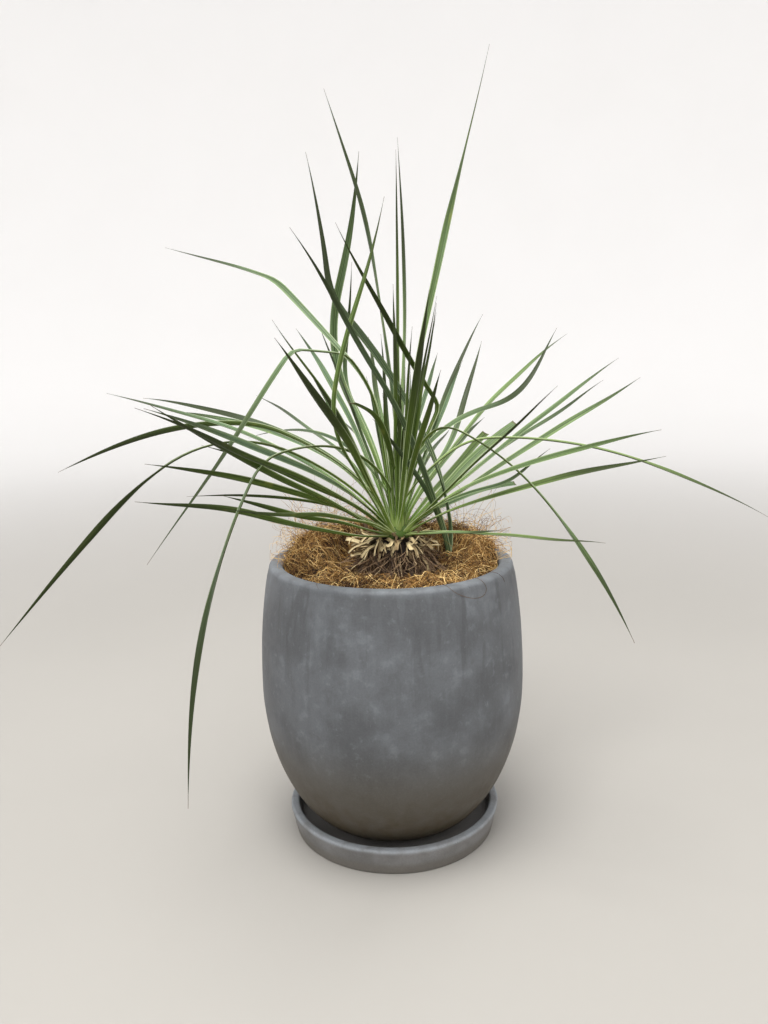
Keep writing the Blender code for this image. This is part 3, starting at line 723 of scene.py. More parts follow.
@dataclass
class Draft:
    """Points, faces and finish guides of one piece while it is put together."""

    name: str
    points: list = field(default_factory=list)
    faces: list = field(default_factory=list)
    corners: list = field(default_factory=list)
    guides: dict = field(default_factory=dict)

    def guide(self, name: str, value: float, count: int) -> None:
        """Give the latest points a number for the finish to read.

        Args:
            name: the guide's name.
            value: the number.
            count: how many points take it.
        """
        self.guides.setdefault(name, []).extend([value] * count)

    def made(self, finish: bpy.types.Material, sharp_over: float = 60.0) -> bpy.types.Object:
        """Build the object.

        Args:
            finish: its material.
            sharp_over: edges with a larger angle stay sharp.

        Returns:
            The linked object.
        """
        mesh = bpy.data.meshes.new(self.name)
        mesh.from_pydata(self.points, [], self.faces)
        for name, values in self.guides.items():
            mesh.attributes.new(name, "FLOAT", "POINT").data.foreach_set("value", values)
        if self.corners:
            layer = mesh.uv_layers.new(name=BLADE_MAP)
            layer.uv.foreach_set("vector", [number for corner in self.corners for number in corner])
        mesh.shade_smooth()
        mesh.set_sharp_from_angle(angle=math.radians(sharp_over))
        mesh.materials.append(finish)
        made = bpy.data.objects.new(self.name, mesh)
        bpy.context.scene.collection.objects.link(made)
        return made


def installed(piece: bpy.types.Object, node: Node) -> None:
    """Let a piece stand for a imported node.

    Args:
        piece: the finished piece.
        node: the node that it stands for.
    """
    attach(piece, "root")
    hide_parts(node.value)
    triangles = sum(len(face.vertices) - 2 for face in piece.data.polygons)
    log.info("%s: %d triangles, stands for %s", piece.name, triangles, node.value)


def turned(
    name: str,
    outline: Sequence[tuple[float, float]],
    segments: int,
    uneven: Callable[[float, float], float],
    centre: Vector = Vector(),
) -> Draft:
    """Turn an outline about a vertical axis.

    Args:
        name: the piece's name.
        outline: radius and height, from below up the outside; it closes, or both ends lie on the axis.
        segments: steps round the axis.
        uneven: metres to add to a radius, from the bearing in degrees and the height.
        centre: the axis' foot.

    Returns:
        The draft.
    """
    draft = Draft(name)
    rings = []
    for radius, height in outline:
        if radius == 0.0:
            rings.append([len(draft.points)] * segments)
            draft.points.append(centre + Vector((0.0, 0.0, height)))
            continue
        rings.append(list(range(len(draft.points), len(draft.points) + segments)))
        for step in range(segments):
            bearing = 360.0 * step / segments
            draft.points.append(centre + polar(radius + uneven(bearing, height), bearing, height))
    pairs = list(zip(rings, rings[1:]))
    if outline[0][0] != 0.0:
        pairs.append((rings[-1], rings[0]))
    for lower, upper in pairs:
        for step in range(segments):
            after = (step + 1) % segments
            corners = (lower[step], lower[after], upper[after], upper[step])
            draft.faces.append(tuple(dict.fromkeys(corners)))
    return draft


def rounded(corner: tuple[float, float], radius: float, start: float, end: float, steps: int) -> list:
    """Give points on the round of an outline's edge.

    Args:
        corner: the round's centre, as radius and height.
        radius: the round's own radius.
        start: first bearing, 0 outwards and 90 upwards.
        end: last bearing.
        steps: how many steps between them.

    Returns:
        Pairs of radius and height.
    """
    points = []
    for step in range(steps + 1):
        angle = math.radians(start + (end - start) * step / steps)
        points.append((corner[0] + radius * math.cos(angle), corner[1] + radius * math.sin(angle)))
    return points


def hand_cast(depth: float, seed: float) -> Callable[[float, float], float]:
    """Make the slight unevenness of a cast and rubbed wall.

    Args:
        depth: metres that it swings either way.
        seed: picks the pattern.

    Returns:
        A function of bearing and height.
    """

    def uneven(bearing: float, height: float) -> float:
        """Give the metres to add at a bearing and a height."""
        spot = polar(1.6, bearing, height * 14.0 + seed)
        return depth * (noise.noise(spot) + 0.35 * noise.noise(spot * 4.0))

    return uneven


@dataclass
class Saucer:
    """Flat-bottomed cement dish with a thick, slightly flared wall."""

    radius: float = 84.5 * MM
    foot_radius: float = 80.0 * MM
    height: float = 21.0 * MM
    wall: float = 7.0 * MM
    floor: float = 8.0 * MM
    edge: float = 1.9 * MM
    foot_edge: float = 1.4 * MM
    segments: int = 160
    unevenness: float = 0.35 * MM

    def outline(self) -> list:
        """Give the dish's outline.

        Returns:
            Pairs of radius and height, from the underside's middle to the floor's middle.
        """
        inner = self.radius - self.wall
        foot = self.foot_radius - self.foot_edge
        points = [(0.0, 0.0), (40 * MM, 0.0), (foot, 0.0)]
        points += rounded((foot + 0.4 * MM, self.foot_edge), self.foot_edge, -70, -5, 4)
        for share in (0.25, 0.5, 0.75):
            reach = self.foot_radius + (self.radius - self.foot_radius) * share
            points.append((reach + 0.2 * MM, self.height * share))
        points += rounded((self.radius - self.edge, self.height - self.edge), self.edge, 0, 90, 6)
        points += rounded((inner + self.edge, self.height - self.edge), self.edge, 90, 180, 6)
        points += [(inner - 0.5 * MM, self.floor + 7 * MM), (inner - 1.2 * MM, self.floor + 4 * MM)]
        points += [(inner - 2.2 * MM, self.floor + 1.6 * MM), (inner - 4.0 * MM, self.floor + 0.4 * MM)]
        points += [(inner - 6.5 * MM, self.floor), (50 * MM, self.floor), (0.0, self.floor)]
        return points

    def build(self) -> None:
        """Build and dress the dish."""
        finish = CementFinish(
            "saucer_cement_rubbed",
            body=(0.200, 0.197, 0.194),
            pale=(0.225, 0.228, 0.234),
            dark=(0.118, 0.114, 0.110),
            # warm and the foot heights below: painted shade low on the dish, with wet dirt on its floor
            warm=(0.150, 0.138, 0.122),
            # edge: the dish's rim, pale from wear and a painted highlight
            edge=(0.300, 0.330, 0.360),
            edge_from=17.0 * MM,
            edge_to=20.6 * MM,
            damp_and_shade_below=12.0 * MM,
            damp_and_shade_full=1.0 * MM,
            streaked=0.0,
        )
        draft = turned("saucer_dish", self.outline(), self.segments, hand_cast(self.unevenness, 3.0))
        installed(draft.made(finish.dressed()), Node.SAUCER)


@dataclass
class Pot:
    """Rounded cement shell with a soft rim and a drain hole in its floor."""

    base_z: float = 8.3 * MM
    base_radius: float = 46.0 * MM
    belly_radius: float = 103.0 * MM
    belly_z: float = 125.0 * MM
    rim_z: float = 220.0 * MM
    shoulder_drop: float = 8.5 * MM
    wall: float = 11.0 * MM
    floor: float = 14.0 * MM
    edge: float = 3.6 * MM
    drain_radius: float = 12.5 * MM
    segments: int = 200
    unevenness: float = 0.4 * MM

    def radius_at(self, height: float) -> float:
        """Give the outer radius: a full lower bowl, then a slow draw-in to the rim.

        Args:
            height: metres above the ground.

        Returns:
            The radius.
        """
        if height < self.belly_z:
            share = min((self.belly_z - height) / (self.belly_z - self.base_z), 1.0)
            return self.base_radius + (self.belly_radius - self.base_radius) * (1.0 - share**2) ** 0.6
        share = (height - self.belly_z) / (self.rim_z - self.belly_z)
        return self.belly_radius - self.shoulder_drop * share**2

    def outline(self) -> list:
        """Give the shell's closed outline.

        Returns:
            Pairs of radius and height, from the drain hole round the outside and back down inside.
        """
        floor_z = self.base_z + self.floor
        points = [(self.drain_radius, self.base_z), (self.base_radius - 1.5 * MM, self.base_z)]
        steps = 34
        for step in range(1, steps + 1):
            angle = math.radians(90.0 * step / steps)
            height = self.belly_z - (self.belly_z - self.base_z) * math.cos(angle)
            points.append((self.radius_at(height), height))
        below_edge = self.rim_z - self.edge
        for step in range(1, 13):
            height = self.belly_z + (below_edge - self.belly_z) * step / 13
            points.append((self.radius_at(height), height))
        outer = self.radius_at(self.rim_z)
        inner = outer - self.wall
        points += rounded((outer - self.edge, below_edge), self.edge, 0, 90, 8)
        points += rounded((inner + self.edge, below_edge), self.edge, 90, 180, 8)
        inside = [below_edge + (floor_z - below_edge) * step / 14 for step in range(1, 14)]
        points += [(self.radius_at(height) - self.wall, height) for height in inside]
        points += [(self.radius_at(floor_z + 5 * MM) * 0.66, floor_z), (self.drain_radius, floor_z)]
        return points

    def build(self) -> None:
        """Build and dress the shell."""
        draft = turned("pot_shell", self.outline(), self.segments, hand_cast(self.unevenness, 0.0))
        installed(draft.made(CementFinish("pot_cement_rubbed").dressed()), Node.POT)


@dataclass
class Filling:
    """The net over the drain hole and the soil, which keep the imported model's meshes."""

    def build(self) -> None:
        """Dress both nodes."""
        for node, finish in ((Node.NET, NetFinish()), (Node.SOIL, SoilFinish())):
            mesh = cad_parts[node.value].data
            mesh.materials.clear()
            mesh.materials.append(finish.dressed())
            log.info("%s: packed mesh kept, dressed as %s", node.value, finish.name)


@dataclass(frozen=True)
class Mound:
    """A round rise in the coir: where it lies, how far it reaches and how high it is, in metres."""

    x: float
    y: float
    reach: float
    rise: float

    def share_at(self, x: float, y: float) -> float:
        """Give the share of its height that shows at a place."""
        return math.exp(-((x - self.x) ** 2 + (y - self.y) ** 2) / self.reach**2)


@dataclass
class Coir:
    """Coir on the soil: a packed bed, thousands of curly strands over it and wisps above the rim."""

    plant_x: float = 5.0 * MM
    shoot: Vector = field(default_factory=lambda: Vector((46.0 * MM, 2.0 * MM, 0.0)))
    floor_z: float = 204.3 * MM
    radius: float = 82.3 * MM
    hole_radius: float = 22.0 * MM
    dish_z: float = 210.0 * MM
    front_rise: float = 5.0 * MM
    back_rise: float = 22.0 * MM
    rim_z: float = 220.0 * MM
    lump: float = 1.1 * MM
    edge_drop: float = 3.0 * MM
    gap: Mound = Mound(-72 * MM, -26 * MM, 19 * MM, 12 * MM)
    heap: Mound = Mound(72 * MM, 10 * MM, 15 * MM, 7 * MM)
    bump: Mound = Mound(46 * MM, -1 * MM, 11 * MM, 9 * MM)
    seed: int = 41
    rings: int = 26
    segments: int = 132
    matted: int = 2700
    springy: int = 2300
    heaped: int = 170
    wisps: int = 900

    def height_at(self, x: float, y: float) -> float:
        """Give the bed's height: low round the trunk, heaped towards the back, sunk at the gap.

        Args:
            x: metres to the right of the pot's axis.
            y: metres behind it.

        Returns:
            The height in metres.
        """
        away = math.hypot(x - self.plant_x, y)
        climb = ease((away - 46 * MM) / (16 * MM))
        backward = ease((y + 20 * MM) / (70 * MM))
        rise = self.front_rise + (self.back_rise - self.front_rise) * backward
        fall = ease((math.hypot(x, y) - 66 * MM) / (12 * MM)) * self.edge_drop
        fall += self.gap.share_at(x, y) * self.gap.rise
        lumps = math.sin(x * 260 + 1.3) * math.cos(y * 210 + 0.4) + 0.6 * math.sin(x * 520 - y * 430)
        raised = sum(mound.share_at(x, y) * mound.rise for mound in (self.bump, self.heap))
        return self.dish_z + climb * (rise + lumps * self.lump) - fall + raised

    def bed(self) -> Draft:
        """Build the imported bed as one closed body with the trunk's opening.

        Returns:
            The draft.
        """
        draft = Draft("coir_bed")
        rings = []
        shares = [step / self.rings for step in range(self.rings + 1)]
        levels = [(share, True) for share in shares] + [(1.0, False), (0.0, False)]
        for share, on_top in levels:
            rings.append(list(range(len(draft.points), len(draft.points) + self.segments)))
            reach = self.hole_radius + (self.radius - self.hole_radius) * share
            for step in range(self.segments):
                spot = polar(reach, 360.0 * step / self.segments, 0.0)
                spot.x += self.plant_x * (1.0 - share)
                if on_top:
                    rough = noise.noise(spot * 180.0) * 1.6 + noise.noise(spot * 520.0) * 0.9
                    spot.z = self.height_at(spot.x, spot.y) + rough * MM - 1.2 * MM
                else:
                    spot.z = self.floor_z
                draft.points.append(spot)
        for lower, upper in zip(rings, rings[1:] + rings[:1]):
            for step in range(self.segments):
                after = (step + 1) % self.segments
                draft.faces.append((lower[step], upper[step], upper[after], lower[after]))
        return draft

    def kept_in(self, spot: Vector) -> Vector:
        """Keep a strand's point inside the pot's mouth and off the trunk.

        Args:
            spot: where it would go.

        Returns:
            Where it may go.
        """
        reach = math.hypot(spot.x, spot.y)
        most = self.radius if spot.z < self.rim_z + 0.8 * MM else self.radius + 11 * MM
        if reach > most:
            spot.x *= most / reach
            spot.y *= most / reach
        away = math.hypot(spot.x - self.plant_x, spot.y)
        least = self.hole_radius + 0.5 * MM
        if away < least:
            spot.x = self.plant_x + (spot.x - self.plant_x) * least / max(away, 0.1 * MM)
            spot.y *= least / max(away, 0.1 * MM)
        return spot

    def lying(self, draw: random.Random, loft: float, steps: int = 10) -> list:
        """Walk one strand that lies on the bed and springs off it in places.

        Args:
            draw: the seeded draw.
            loft: how high it may spring, in metres.
            steps: how many stretches it has.

        Returns:
            Its points.
        """
        away = math.sqrt(draw.uniform(26.0**2, 81.0**2)) * MM
        spot = polar(away, draw.uniform(0.0, 360.0), 0.0)
        heading = draw.uniform(0.0, 2.0 * math.pi)
        curl = draw.gauss(0.0, 0.30)
        stride = draw.uniform(1.8, 5.6) * MM
        phase = draw.uniform(0.0, 2.0 * math.pi)
        waves = draw.uniform(0.6, 1.9)
        sunk = draw.uniform(-1.5, 0.8) * MM
        points = []
        for step in range(steps + 1):
            share = step / steps
            lift = loft * (0.5 + 0.5 * math.sin(phase + waves * 2.0 * math.pi * share))
            near_trunk = 1.0 - 0.75 * ease((52 * MM - math.hypot(spot.x - self.plant_x, spot.y)) / (14 * MM))
            here = Vector((spot.x, spot.y, self.height_at(spot.x, spot.y) + sunk + lift * near_trunk))
            points.append(self.kept_in(here))
            spot = Vector((points[-1].x, points[-1].y, 0.0))
            spot.x += stride * math.cos(heading)
            spot.y += stride * math.sin(heading)
            if math.hypot(spot.x, spot.y) > self.radius:
                heading = math.atan2(-spot.y, -spot.x) + draw.uniform(-1.3, 1.3)
            heading += curl + draw.gauss(0.0, 0.30)
        return points

    def wisp(self, draw: random.Random, steps: int = 11) -> list:
        """Walk one fine strand that stands up out of the heap and leans over.

        Args:
            draw: the seeded draw.
            steps: how many stretches it has.

        Returns:
            Its points.
        """
        left, right, anywhere = draw.gauss(155.0, 34.0), draw.gauss(22.0, 20.0), draw.uniform(0.0, 360.0)
        bearing = draw.choice((left, left, right, anywhere))
        front = max(0.0, -math.sin(math.radians(bearing)))
        spot = polar(draw.uniform(60.0, 81.0) * MM, bearing, 0.0)
        spot.z = self.height_at(spot.x, spot.y) - 2 * MM
        climb = math.radians(draw.uniform(25.0, 85.0) * (1.0 - 0.55 * front))
        heading = math.radians(bearing + draw.gauss(0.0, 75.0))
        stride = draw.uniform(1.6, 5.4) * MM * (1.0 - 0.45 * front)
        bend = draw.uniform(0.04, 0.26)
        curl = draw.gauss(0.0, 0.20)
        points = []
        for _ in range(steps + 1):
            points.append(self.kept_in(spot.copy()))
            level = stride * math.cos(climb)
            spot = points[-1] + Vector((level * math.cos(heading), level * math.sin(heading), 0.0))
            spot.z += stride * math.sin(climb)
            spot.z = max(spot.z, self.height_at(spot.x, spot.y) - 1 * MM)
            climb -= bend + draw.gauss(0.0, 0.12)
            heading += curl + draw.gauss(0.0, 0.24)
        return points

    def round_shoot(self, draw: random.Random, steps: int = 8) -> list:
        """Walk one strand that lies heaped round the side shoot's foot.

        Args:
            draw: the seeded draw.
            steps: how many stretches it has.

        Returns:
            Its points.
        """
        bearing = draw.uniform(0.0, 360.0)
        sweep = draw.choice((-1.0, 1.0)) * draw.uniform(8.0, 24.0)
        away = draw.uniform(3.9, 9.0) * MM
        drift = draw.uniform(-0.1, 0.9) * MM
        rise = draw.uniform(-1.0, 7.0) * MM
        points = []
        for _ in range(steps + 1):
            spot = self.shoot + polar(away, bearing, 0.0)
            spot.z = self.height_at(spot.x, spot.y) + rise - (away - 4 * MM) * 0.6
            points.append(self.kept_in(spot))
            bearing += sweep + draw.gauss(0.0, 6.0)
            away = max(away + drift + draw.gauss(0.0, 0.5) * MM, 3.9 * MM)
            rise += draw.gauss(0.0, 0.6) * MM
        return points

    def over_rim(self) -> list:
        """Give the few strands that hang over the rim at the front right, each given point by point.

        Returns:
            A list of paths.
        """
        first = [(80, -70, 214), (86, -68, 220.6), (92, -66, 220.4), (95.5, -64, 217), (95.9, -60, 213)]
        first += [(96.4, -54, 209.5), (96.6, -49, 209.5), (96.2, -46.5, 213), (95.4, -47, 217)]
        first += [(92, -48, 220.5), (86, -49, 220.8), (80, -50, 217)]
        second = [(79, -40, 216), (86, -38, 221.2), (92, -35, 220.7), (95.6, -33, 216.8), (96.2, -32, 213.4)]
        third = [(78, -128, 215), (85, -127, 220.8), (91, -125, 220.6), (94.8, -122, 218.4)]
        paths = []
        for rough in (first, second, third):
            spots = [polar(reach * MM, bearing, height * MM) for reach, bearing, height in rough]
            paths.append(smoothed(spots, 3))
        return paths

    def clumped_and_shaded(self, path: Sequence[Vector], tone: float) -> float:
        """Shift a strand's tone by the clump that it lies in, with painted shade: darker low in the bed and
        in the gap by the rim; lighter towards the right.

        Args:
            path: the strand's points.
            tone: its own tone.

        Returns:
            The shifted tone.
        """
        middle = path[len(path) // 2]
        patch = noise.noise(middle * 95.0) * 0.42 + noise.noise(middle * 260.0) * 0.25
        # Painted shade: strands low in the bed are darker
        raised = (middle.z - self.height_at(middle.x, middle.y)) / (5 * MM)
        # Lighter towards the right; painted shade in the gap by the rim
        side = middle.x * 0.9 - 0.04 - self.gap.share_at(middle.x, middle.y) * 0.55
        return min(max(tone + patch + side + 0.16 * min(max(raised - 0.4, -1.0), 1.0), 0.0), 1.0)

    def build(self) -> None:
        """Build and dress the bed and the strands."""
        felt = FeltFinish().dressed()
        strand = FibreFinish().dressed()
        installed(self.bed().made(felt), Node.COIR)
        draw = random.Random(self.seed)
        matted = Draft("coir_matted")
        for _ in range(self.matted):
            path = self.lying(draw, draw.uniform(0.4, 2.6) * MM)
            tone = self.clumped_and_shaded(path, draw.betavariate(0.9, 1.8))
            add_strand(matted, path, draw.uniform(0.14, 0.27) * MM, tone)
        installed(matted.made(strand), Node.COIR)
        springy = Draft("coir_springy")
        for _ in range(self.springy):
            path = self.lying(draw, draw.uniform(2.0, 9.0) * MM)
            tone = self.clumped_and_shaded(path, draw.betavariate(0.85, 0.95))
            add_strand(springy, path, draw.uniform(0.11, 0.28) * MM, tone)
        for _ in range(self.heaped):
            path = self.round_shoot(draw)
            add_strand(springy, path, draw.uniform(0.13, 0.28) * MM, draw.betavariate(1.2, 1.2))
        installed(springy.made(strand), Node.COIR)
        loose = Draft("coir_wisps")
        for _ in range(self.wisps):
            add_strand(loose, self.wisp(draw), draw.uniform(0.07, 0.14) * MM, draw.betavariate(2.4, 1.6))
        for path in self.over_rim():
            add_strand(loose, path, 0.15 * MM, 0.14)
        installed(loose.made(strand), Node.COIR)


def smoothed(points: Sequence[Vector], between: int) -> list:
    """Run a smooth line through given points.

    Args:
        points: the points.
        between: how many steps each gap gets.

    Returns:
        The finer line.
    """
    line = []
    last = len(points) - 1
    for index in range(last):
        before, here = points[max(index - 1, 0)], points[index]
        after, beyond = points[index + 1], points[min(index + 2, last)]
        for step in range(between):
            t = step / between
            swing = (after - before) * t + (before * 2 - here * 5 + after * 4 - beyond) * t**2
            line.append(here + 0.5 * (swing + (here * 3 - before - after * 3 + beyond) * t**3))
    line.append(points[-1].copy())
    return line


def add_strand(draft: Draft, path: Sequence[Vector], radius: float, tone: float) -> None:
    """Add a three-sided strand along a path.

    Args:
        draft: the draft that takes it.
        path: its points.
        radius: its radius; the ends are finer.
        tone: how light it is, from 0 to 1.
    """
    start = len(draft.points)
    last = len(path) - 1
    side = Vector((0.31, 0.47, 0.83))
    for index, here in enumerate(path):
        ahead = (path[min(index + 1, last)] - path[max(index - 1, 0)]).normalized()
        side = (side - ahead * side.dot(ahead)).normalized()
        over = side.cross(ahead)
        reach = radius * (0.5 if index in (0, last) else 1.0)
        draft.points.append(here + side * reach)
        draft.points.append(here - side * (reach * 0.5) + over * (reach * 0.866))
        draft.points.append(here - side * (reach * 0.5) - over * (reach * 0.866))
    for index in range(last):
        low = start + 3 * index
        for corner in range(3):
            after = (corner + 1) % 3
            draft.faces.append((low + corner, low + 3 + corner, low + 3 + after, low + after))
    draft.faces.append((start, start + 1, start + 2))
    end = start + 3 * last
    draft.faces.append((end + 2, end + 1, end))
    draft.guide("tone", tone, 3 * (last + 1))


@dataclass(frozen=True)
class Bend:
    """A fold or a sweep in a blade: where along it, by how many degrees and over what share."""

    at: float
    drop: float
    spread: float


@dataclass(frozen=True)
class Twist:
    """A turn of a blade's face about its own length: where, by how many degrees and over what share."""

    at: float
    by: float
    spread: float


@dataclass(frozen=True)
class Leaf:
    """One blade.

    It has a heading from +X, a length in millimetres, the lift at its root, how far it splays, a width
    in millimetres, and how far its face is turned about its own length past the first third.
    """

    heading: float
    length: float
    lift: float
    splay: float
    width: float
    turn: float = 0.0
    bends: tuple = ()
    cut: bool = False
    twists: tuple = ()

    def roll(self, share: float) -> float:
        """Give the degrees by which the blade's face is turned about its own length.

        Args:
            share: 0 at the root and 1 at the tip.

        Returns:
            The degrees.
        """
        twisted = sum(twist.by * ease((share - twist.at) / twist.spread + 0.5) for twist in self.twists)
        return self.turn * ease(share / 0.35) + twisted

    def stray(self, share: float, row: float) -> float:
        """Give the degrees by which the blade strays from its arc.

        Args:
            share: 0 at the root and 1 at the tip.
            row: 0 for up and down, and 1 for side to side.

        Returns:
            The degrees.
        """
        spot = Vector((share * 3.5, self.length * 0.11 + row * 9.0, self.heading * 0.23))
        return STRAY * ease(share / 0.3) * noise.noise(spot)

    def along(self, share: float) -> tuple[Vector, Vector]:
        """Give the blade's direction at a share of its length.

        Args:
            share: 0 at the root and 1 at the tip.

        Returns:
            The direction, and the one square to it that points up.
        """
        lift = self.lift - self.splay * share**0.4 + self.stray(share, 0.0)
        for bend in self.bends:
            lift -= bend.drop * ease((share - bend.at) / bend.spread + 0.5)
        lift = math.radians(lift)
        level = polar(1.0, self.heading + self.stray(share, 1.0), 0.0)
        rise = Vector((0.0, 0.0, 1.0))
        return level * math.cos(lift) + rise * math.sin(lift), rise * math.cos(lift) - level * math.sin(lift)

    def root(self, heart: Vector, reach: float, rise: float) -> Vector:
        """Give the point where the blade leaves its heart: the flatter it starts, the further out.

        Args:
            heart: the heart's middle.
            reach: how far out a level blade starts.
            rise: how much higher an upright blade starts.

        Returns:
            The point.
        """
        level = math.cos(math.radians(self.lift))
        out = reach * math.copysign(abs(level) ** 0.7, level) + reach * 0.15
        return heart + polar(out, self.heading, rise * math.sin(math.radians(self.lift)))


@dataclass(frozen=True)
class Section:
    """The shape across a blade, in millimetres and shares of its half width."""

    thick: float = 1.0
    thin: float = 0.45
    gutter: float = 0.42
    flare: float = 0.9
    flare_over: float = 0.05
    narrow: float = 0.42
    widest: float = 0.60
    taper_from: float = 0.63
    steps: int = 48
    wave: float = 0.5

    def half_width(self, leaf: Leaf, share: float) -> float:
        """Give half the blade's width in millimetres.

        Args:
            leaf: the blade.
            share: 0 at the root and 1 at the tip.

        Returns:
            Half the width.
        """
        swell = self.narrow + (1.0 - self.narrow) * ease(share / self.widest)
        taper = 1.0 if leaf.cut else (1.0 - ease((share - self.taper_from) / (1.0 - self.taper_from))) ** 0.6
        clasp = self.flare * (1.0 - ease(share / self.flare_over))
        return max(0.5 * leaf.width * swell * taper + clasp, 0.12)


# Blades that stand up
UPRIGHT_LEAVES = (
    Leaf(18, 356, 89, 14, 5.5, 50, twists=(Twist(0.68, 105, 0.35),)),
    Leaf(81, 301, 71.5, -2, 5.5, 0, (Bend(0.62, -34, 0.4),), twists=(Twist(0.3, -57, 0.4),)),
    Leaf(256, 275, 100, 9, 5.5, 10, twists=(Twist(0.3, -60, 0.4),)),
    Leaf(145, 330, 100.5, 30, 5.5, -12, twists=(Twist(0.4, 34, 0.2), Twist(0.64, -28, 0.2),)),
    Leaf(130, 301, 86.5, 57, 6.5, -30, (Bend(0.5, -72, 0.4),)),
    Leaf(240, 284, 49, 5, 3.5, 30, (Bend(0.4, -74, 0.25),)),
    Leaf(107, 279, 70.5, 60, 4.5, 0, (Bend(0.62, -92, 0.25),)),
    Leaf(225, 267, 104.5, -30, 5.5, 5, (Bend(0.37, 78, 0.06),)),
    Leaf(76, 303, 22, -3, 5),
    Leaf(66, 245, 48, 51, 5.5, 10, (Bend(0.49, -45, 0.4),)),
    Leaf(84, 235, 23.5, 0, 4.5, -15, (Bend(0.84, -44, 0.25),)),
    Leaf(81, 315, 43.5, 26, 5),
    Leaf(75, 226, 37, 32, 4.5),
    Leaf(63, 67, 75, 27, 4.5),
    Leaf(100, 305, 28, 23, 4.5, 15),
    Leaf(255, 167, 119.5, 110, 5, cut=True),
)

# Blades that fan out to the right, and the two that arch over and hang
HIGH_ARCH_TWISTS = (Twist(0.3, -35, 0.2), Twist(0.74, 25, 0.15))
LOW_ARCH_TWISTS = (Twist(0.35, -16, 0.2), Twist(0.76, 68, 0.2))

RIGHT_LEAVES = (
    Leaf(39, 257, 111.5, 128, 5.5, 35, (Bend(0.73, -64, 0.4),)),
    Leaf(64, 198, 38, 24, 5.5, 15),
    Leaf(48, 269, 59, 37, 6, -5),
    Leaf(37, 288, 34.5, 12, 6, 8),
    Leaf(42, 279, 32.5, 14, 5.5, 6),
    Leaf(32, 268, 26.5, 4, 6, 28),
    Leaf(-41, 167, 44, 4, 5),
    Leaf(27, 123, 46, 13, 7, 35, cut=True),
    Leaf(48, 126, 38, 12, 6.5, 20, cut=True),
    Leaf(-47, 227, 47, 35, 5, 55),
    Leaf(-30, 130, 52, 41, 4, 50, (Bend(0.7, -29, 0.3),)),
    Leaf(26, 103, 38.5, 35, 5.5, 25, cut=True),
    Leaf(-31, 199, 35, 21, 4.5, 55),
    Leaf(-21, 304, 95.5, 106, 5.5, 32, (Bend(0.29, 21, 0.15),), twists=HIGH_ARCH_TWISTS),
    Leaf(-40, 302, 107.5, 105, 5.5, -2, (Bend(0.31, 61, 0.15),), twists=LOW_ARCH_TWISTS),
    Leaf(-41, 161, 16.5, 18, 3.5, 22),
    Leaf(-51, 99, 11, 1, 3.5, 25),
)

# Blades that fan out to the left, with the long ones that fold or droop
FAR_LEFT_BENDS = (Bend(0.24, 39, 0.2), Bend(0.59, 18, 0.1), Bend(0.75, 1, 0.15))
FAR_LEFT_TWISTS = (Twist(0.35, -30, 0.2), Twist(0.6, 25, 0.1))
DROOPING_TWISTS = (Twist(0.2, -42, 0.2), Twist(0.64, 64, 0.22))
LOWEST_TWISTS = (Twist(0.25, -16, 0.2), Twist(0.45, 30, 0.15), Twist(0.72, -58, 0.2))
FOLDED_LEFT_BENDS = (Bend(0.29, 33, 0.2), Bend(0.39, 38, 0.05), Bend(0.52, 49, 0.06))

LEFT_LEAVES = (
    Leaf(137, 419, 87.5, 15, 5.5, -10, FAR_LEFT_BENDS, twists=FAR_LEFT_TWISTS),
    Leaf(224, 358, 86.5, 16, 5.2, -8, FOLDED_LEFT_BENDS),
    Leaf(250, 228, 48.5, 16, 6.5),
    Leaf(118, 304, 47.5, 40, 5),
    Leaf(160, 247, 80.5, 79, 5.5, -45),
    Leaf(135, 222, 99, 116, 4.5, -22),
    Leaf(146, 257, 73, 77, 5.5, -40),
    Leaf(165, 327, 84.5, 97, 5.5, 55, (Bend(0.4, 14, 0.15),)),
    Leaf(235, 247, 49, 32, 6.5, -55),
    Leaf(244, 303, 34.5, 17, 5.5, 25),
    Leaf(238, 253, 23.5, -4, 5, 45),
    Leaf(233, 236, 32, 18, 5.5, 48),
    Leaf(232, 233, 6.5, -11, 4.5, 62),
    Leaf(250, 246, 25.5, 14, 3.5, 50),
    Leaf(226, 154, 18, -1, 4, 65),
    Leaf(215, 166, 42.5, 38, 3.5, 30),
    Leaf(210, 348, 67.5, 66, 6.5, 48, (Bend(0.43, 48, 0.4),), twists=DROOPING_TWISTS),
    Leaf(240, 403, 107, 156, 5.5, 25, (Bend(0.48, 36, 0.1),), twists=LOWEST_TWISTS),
)

# Blades added towards the back
BACK_LEAVES = (
    Leaf(95, 240, 59.5, 30, 5.5, 20),
    Leaf(112, 300, 51.5, 26, 5.5, -20),
    Leaf(178, 238, 62, 50, 5.5, -25),
    Leaf(190, 150, 49.5, 30, 4.5, 45),
    Leaf(280, 198, 72, 20, 5.5, 10),
    Leaf(285, 158, 66, 22, 4.5, -10),
)

# Blades of the side shoot
SHOOT_LEAVES = (
    Leaf(194, 316, 110.5, 73, 6.5, -55, (Bend(0.69, -43, 0.15),)),
    Leaf(228, 278, 80.5, 36, 6, 5),
    Leaf(211, 128, 85, 38, 4.5, 35),
)


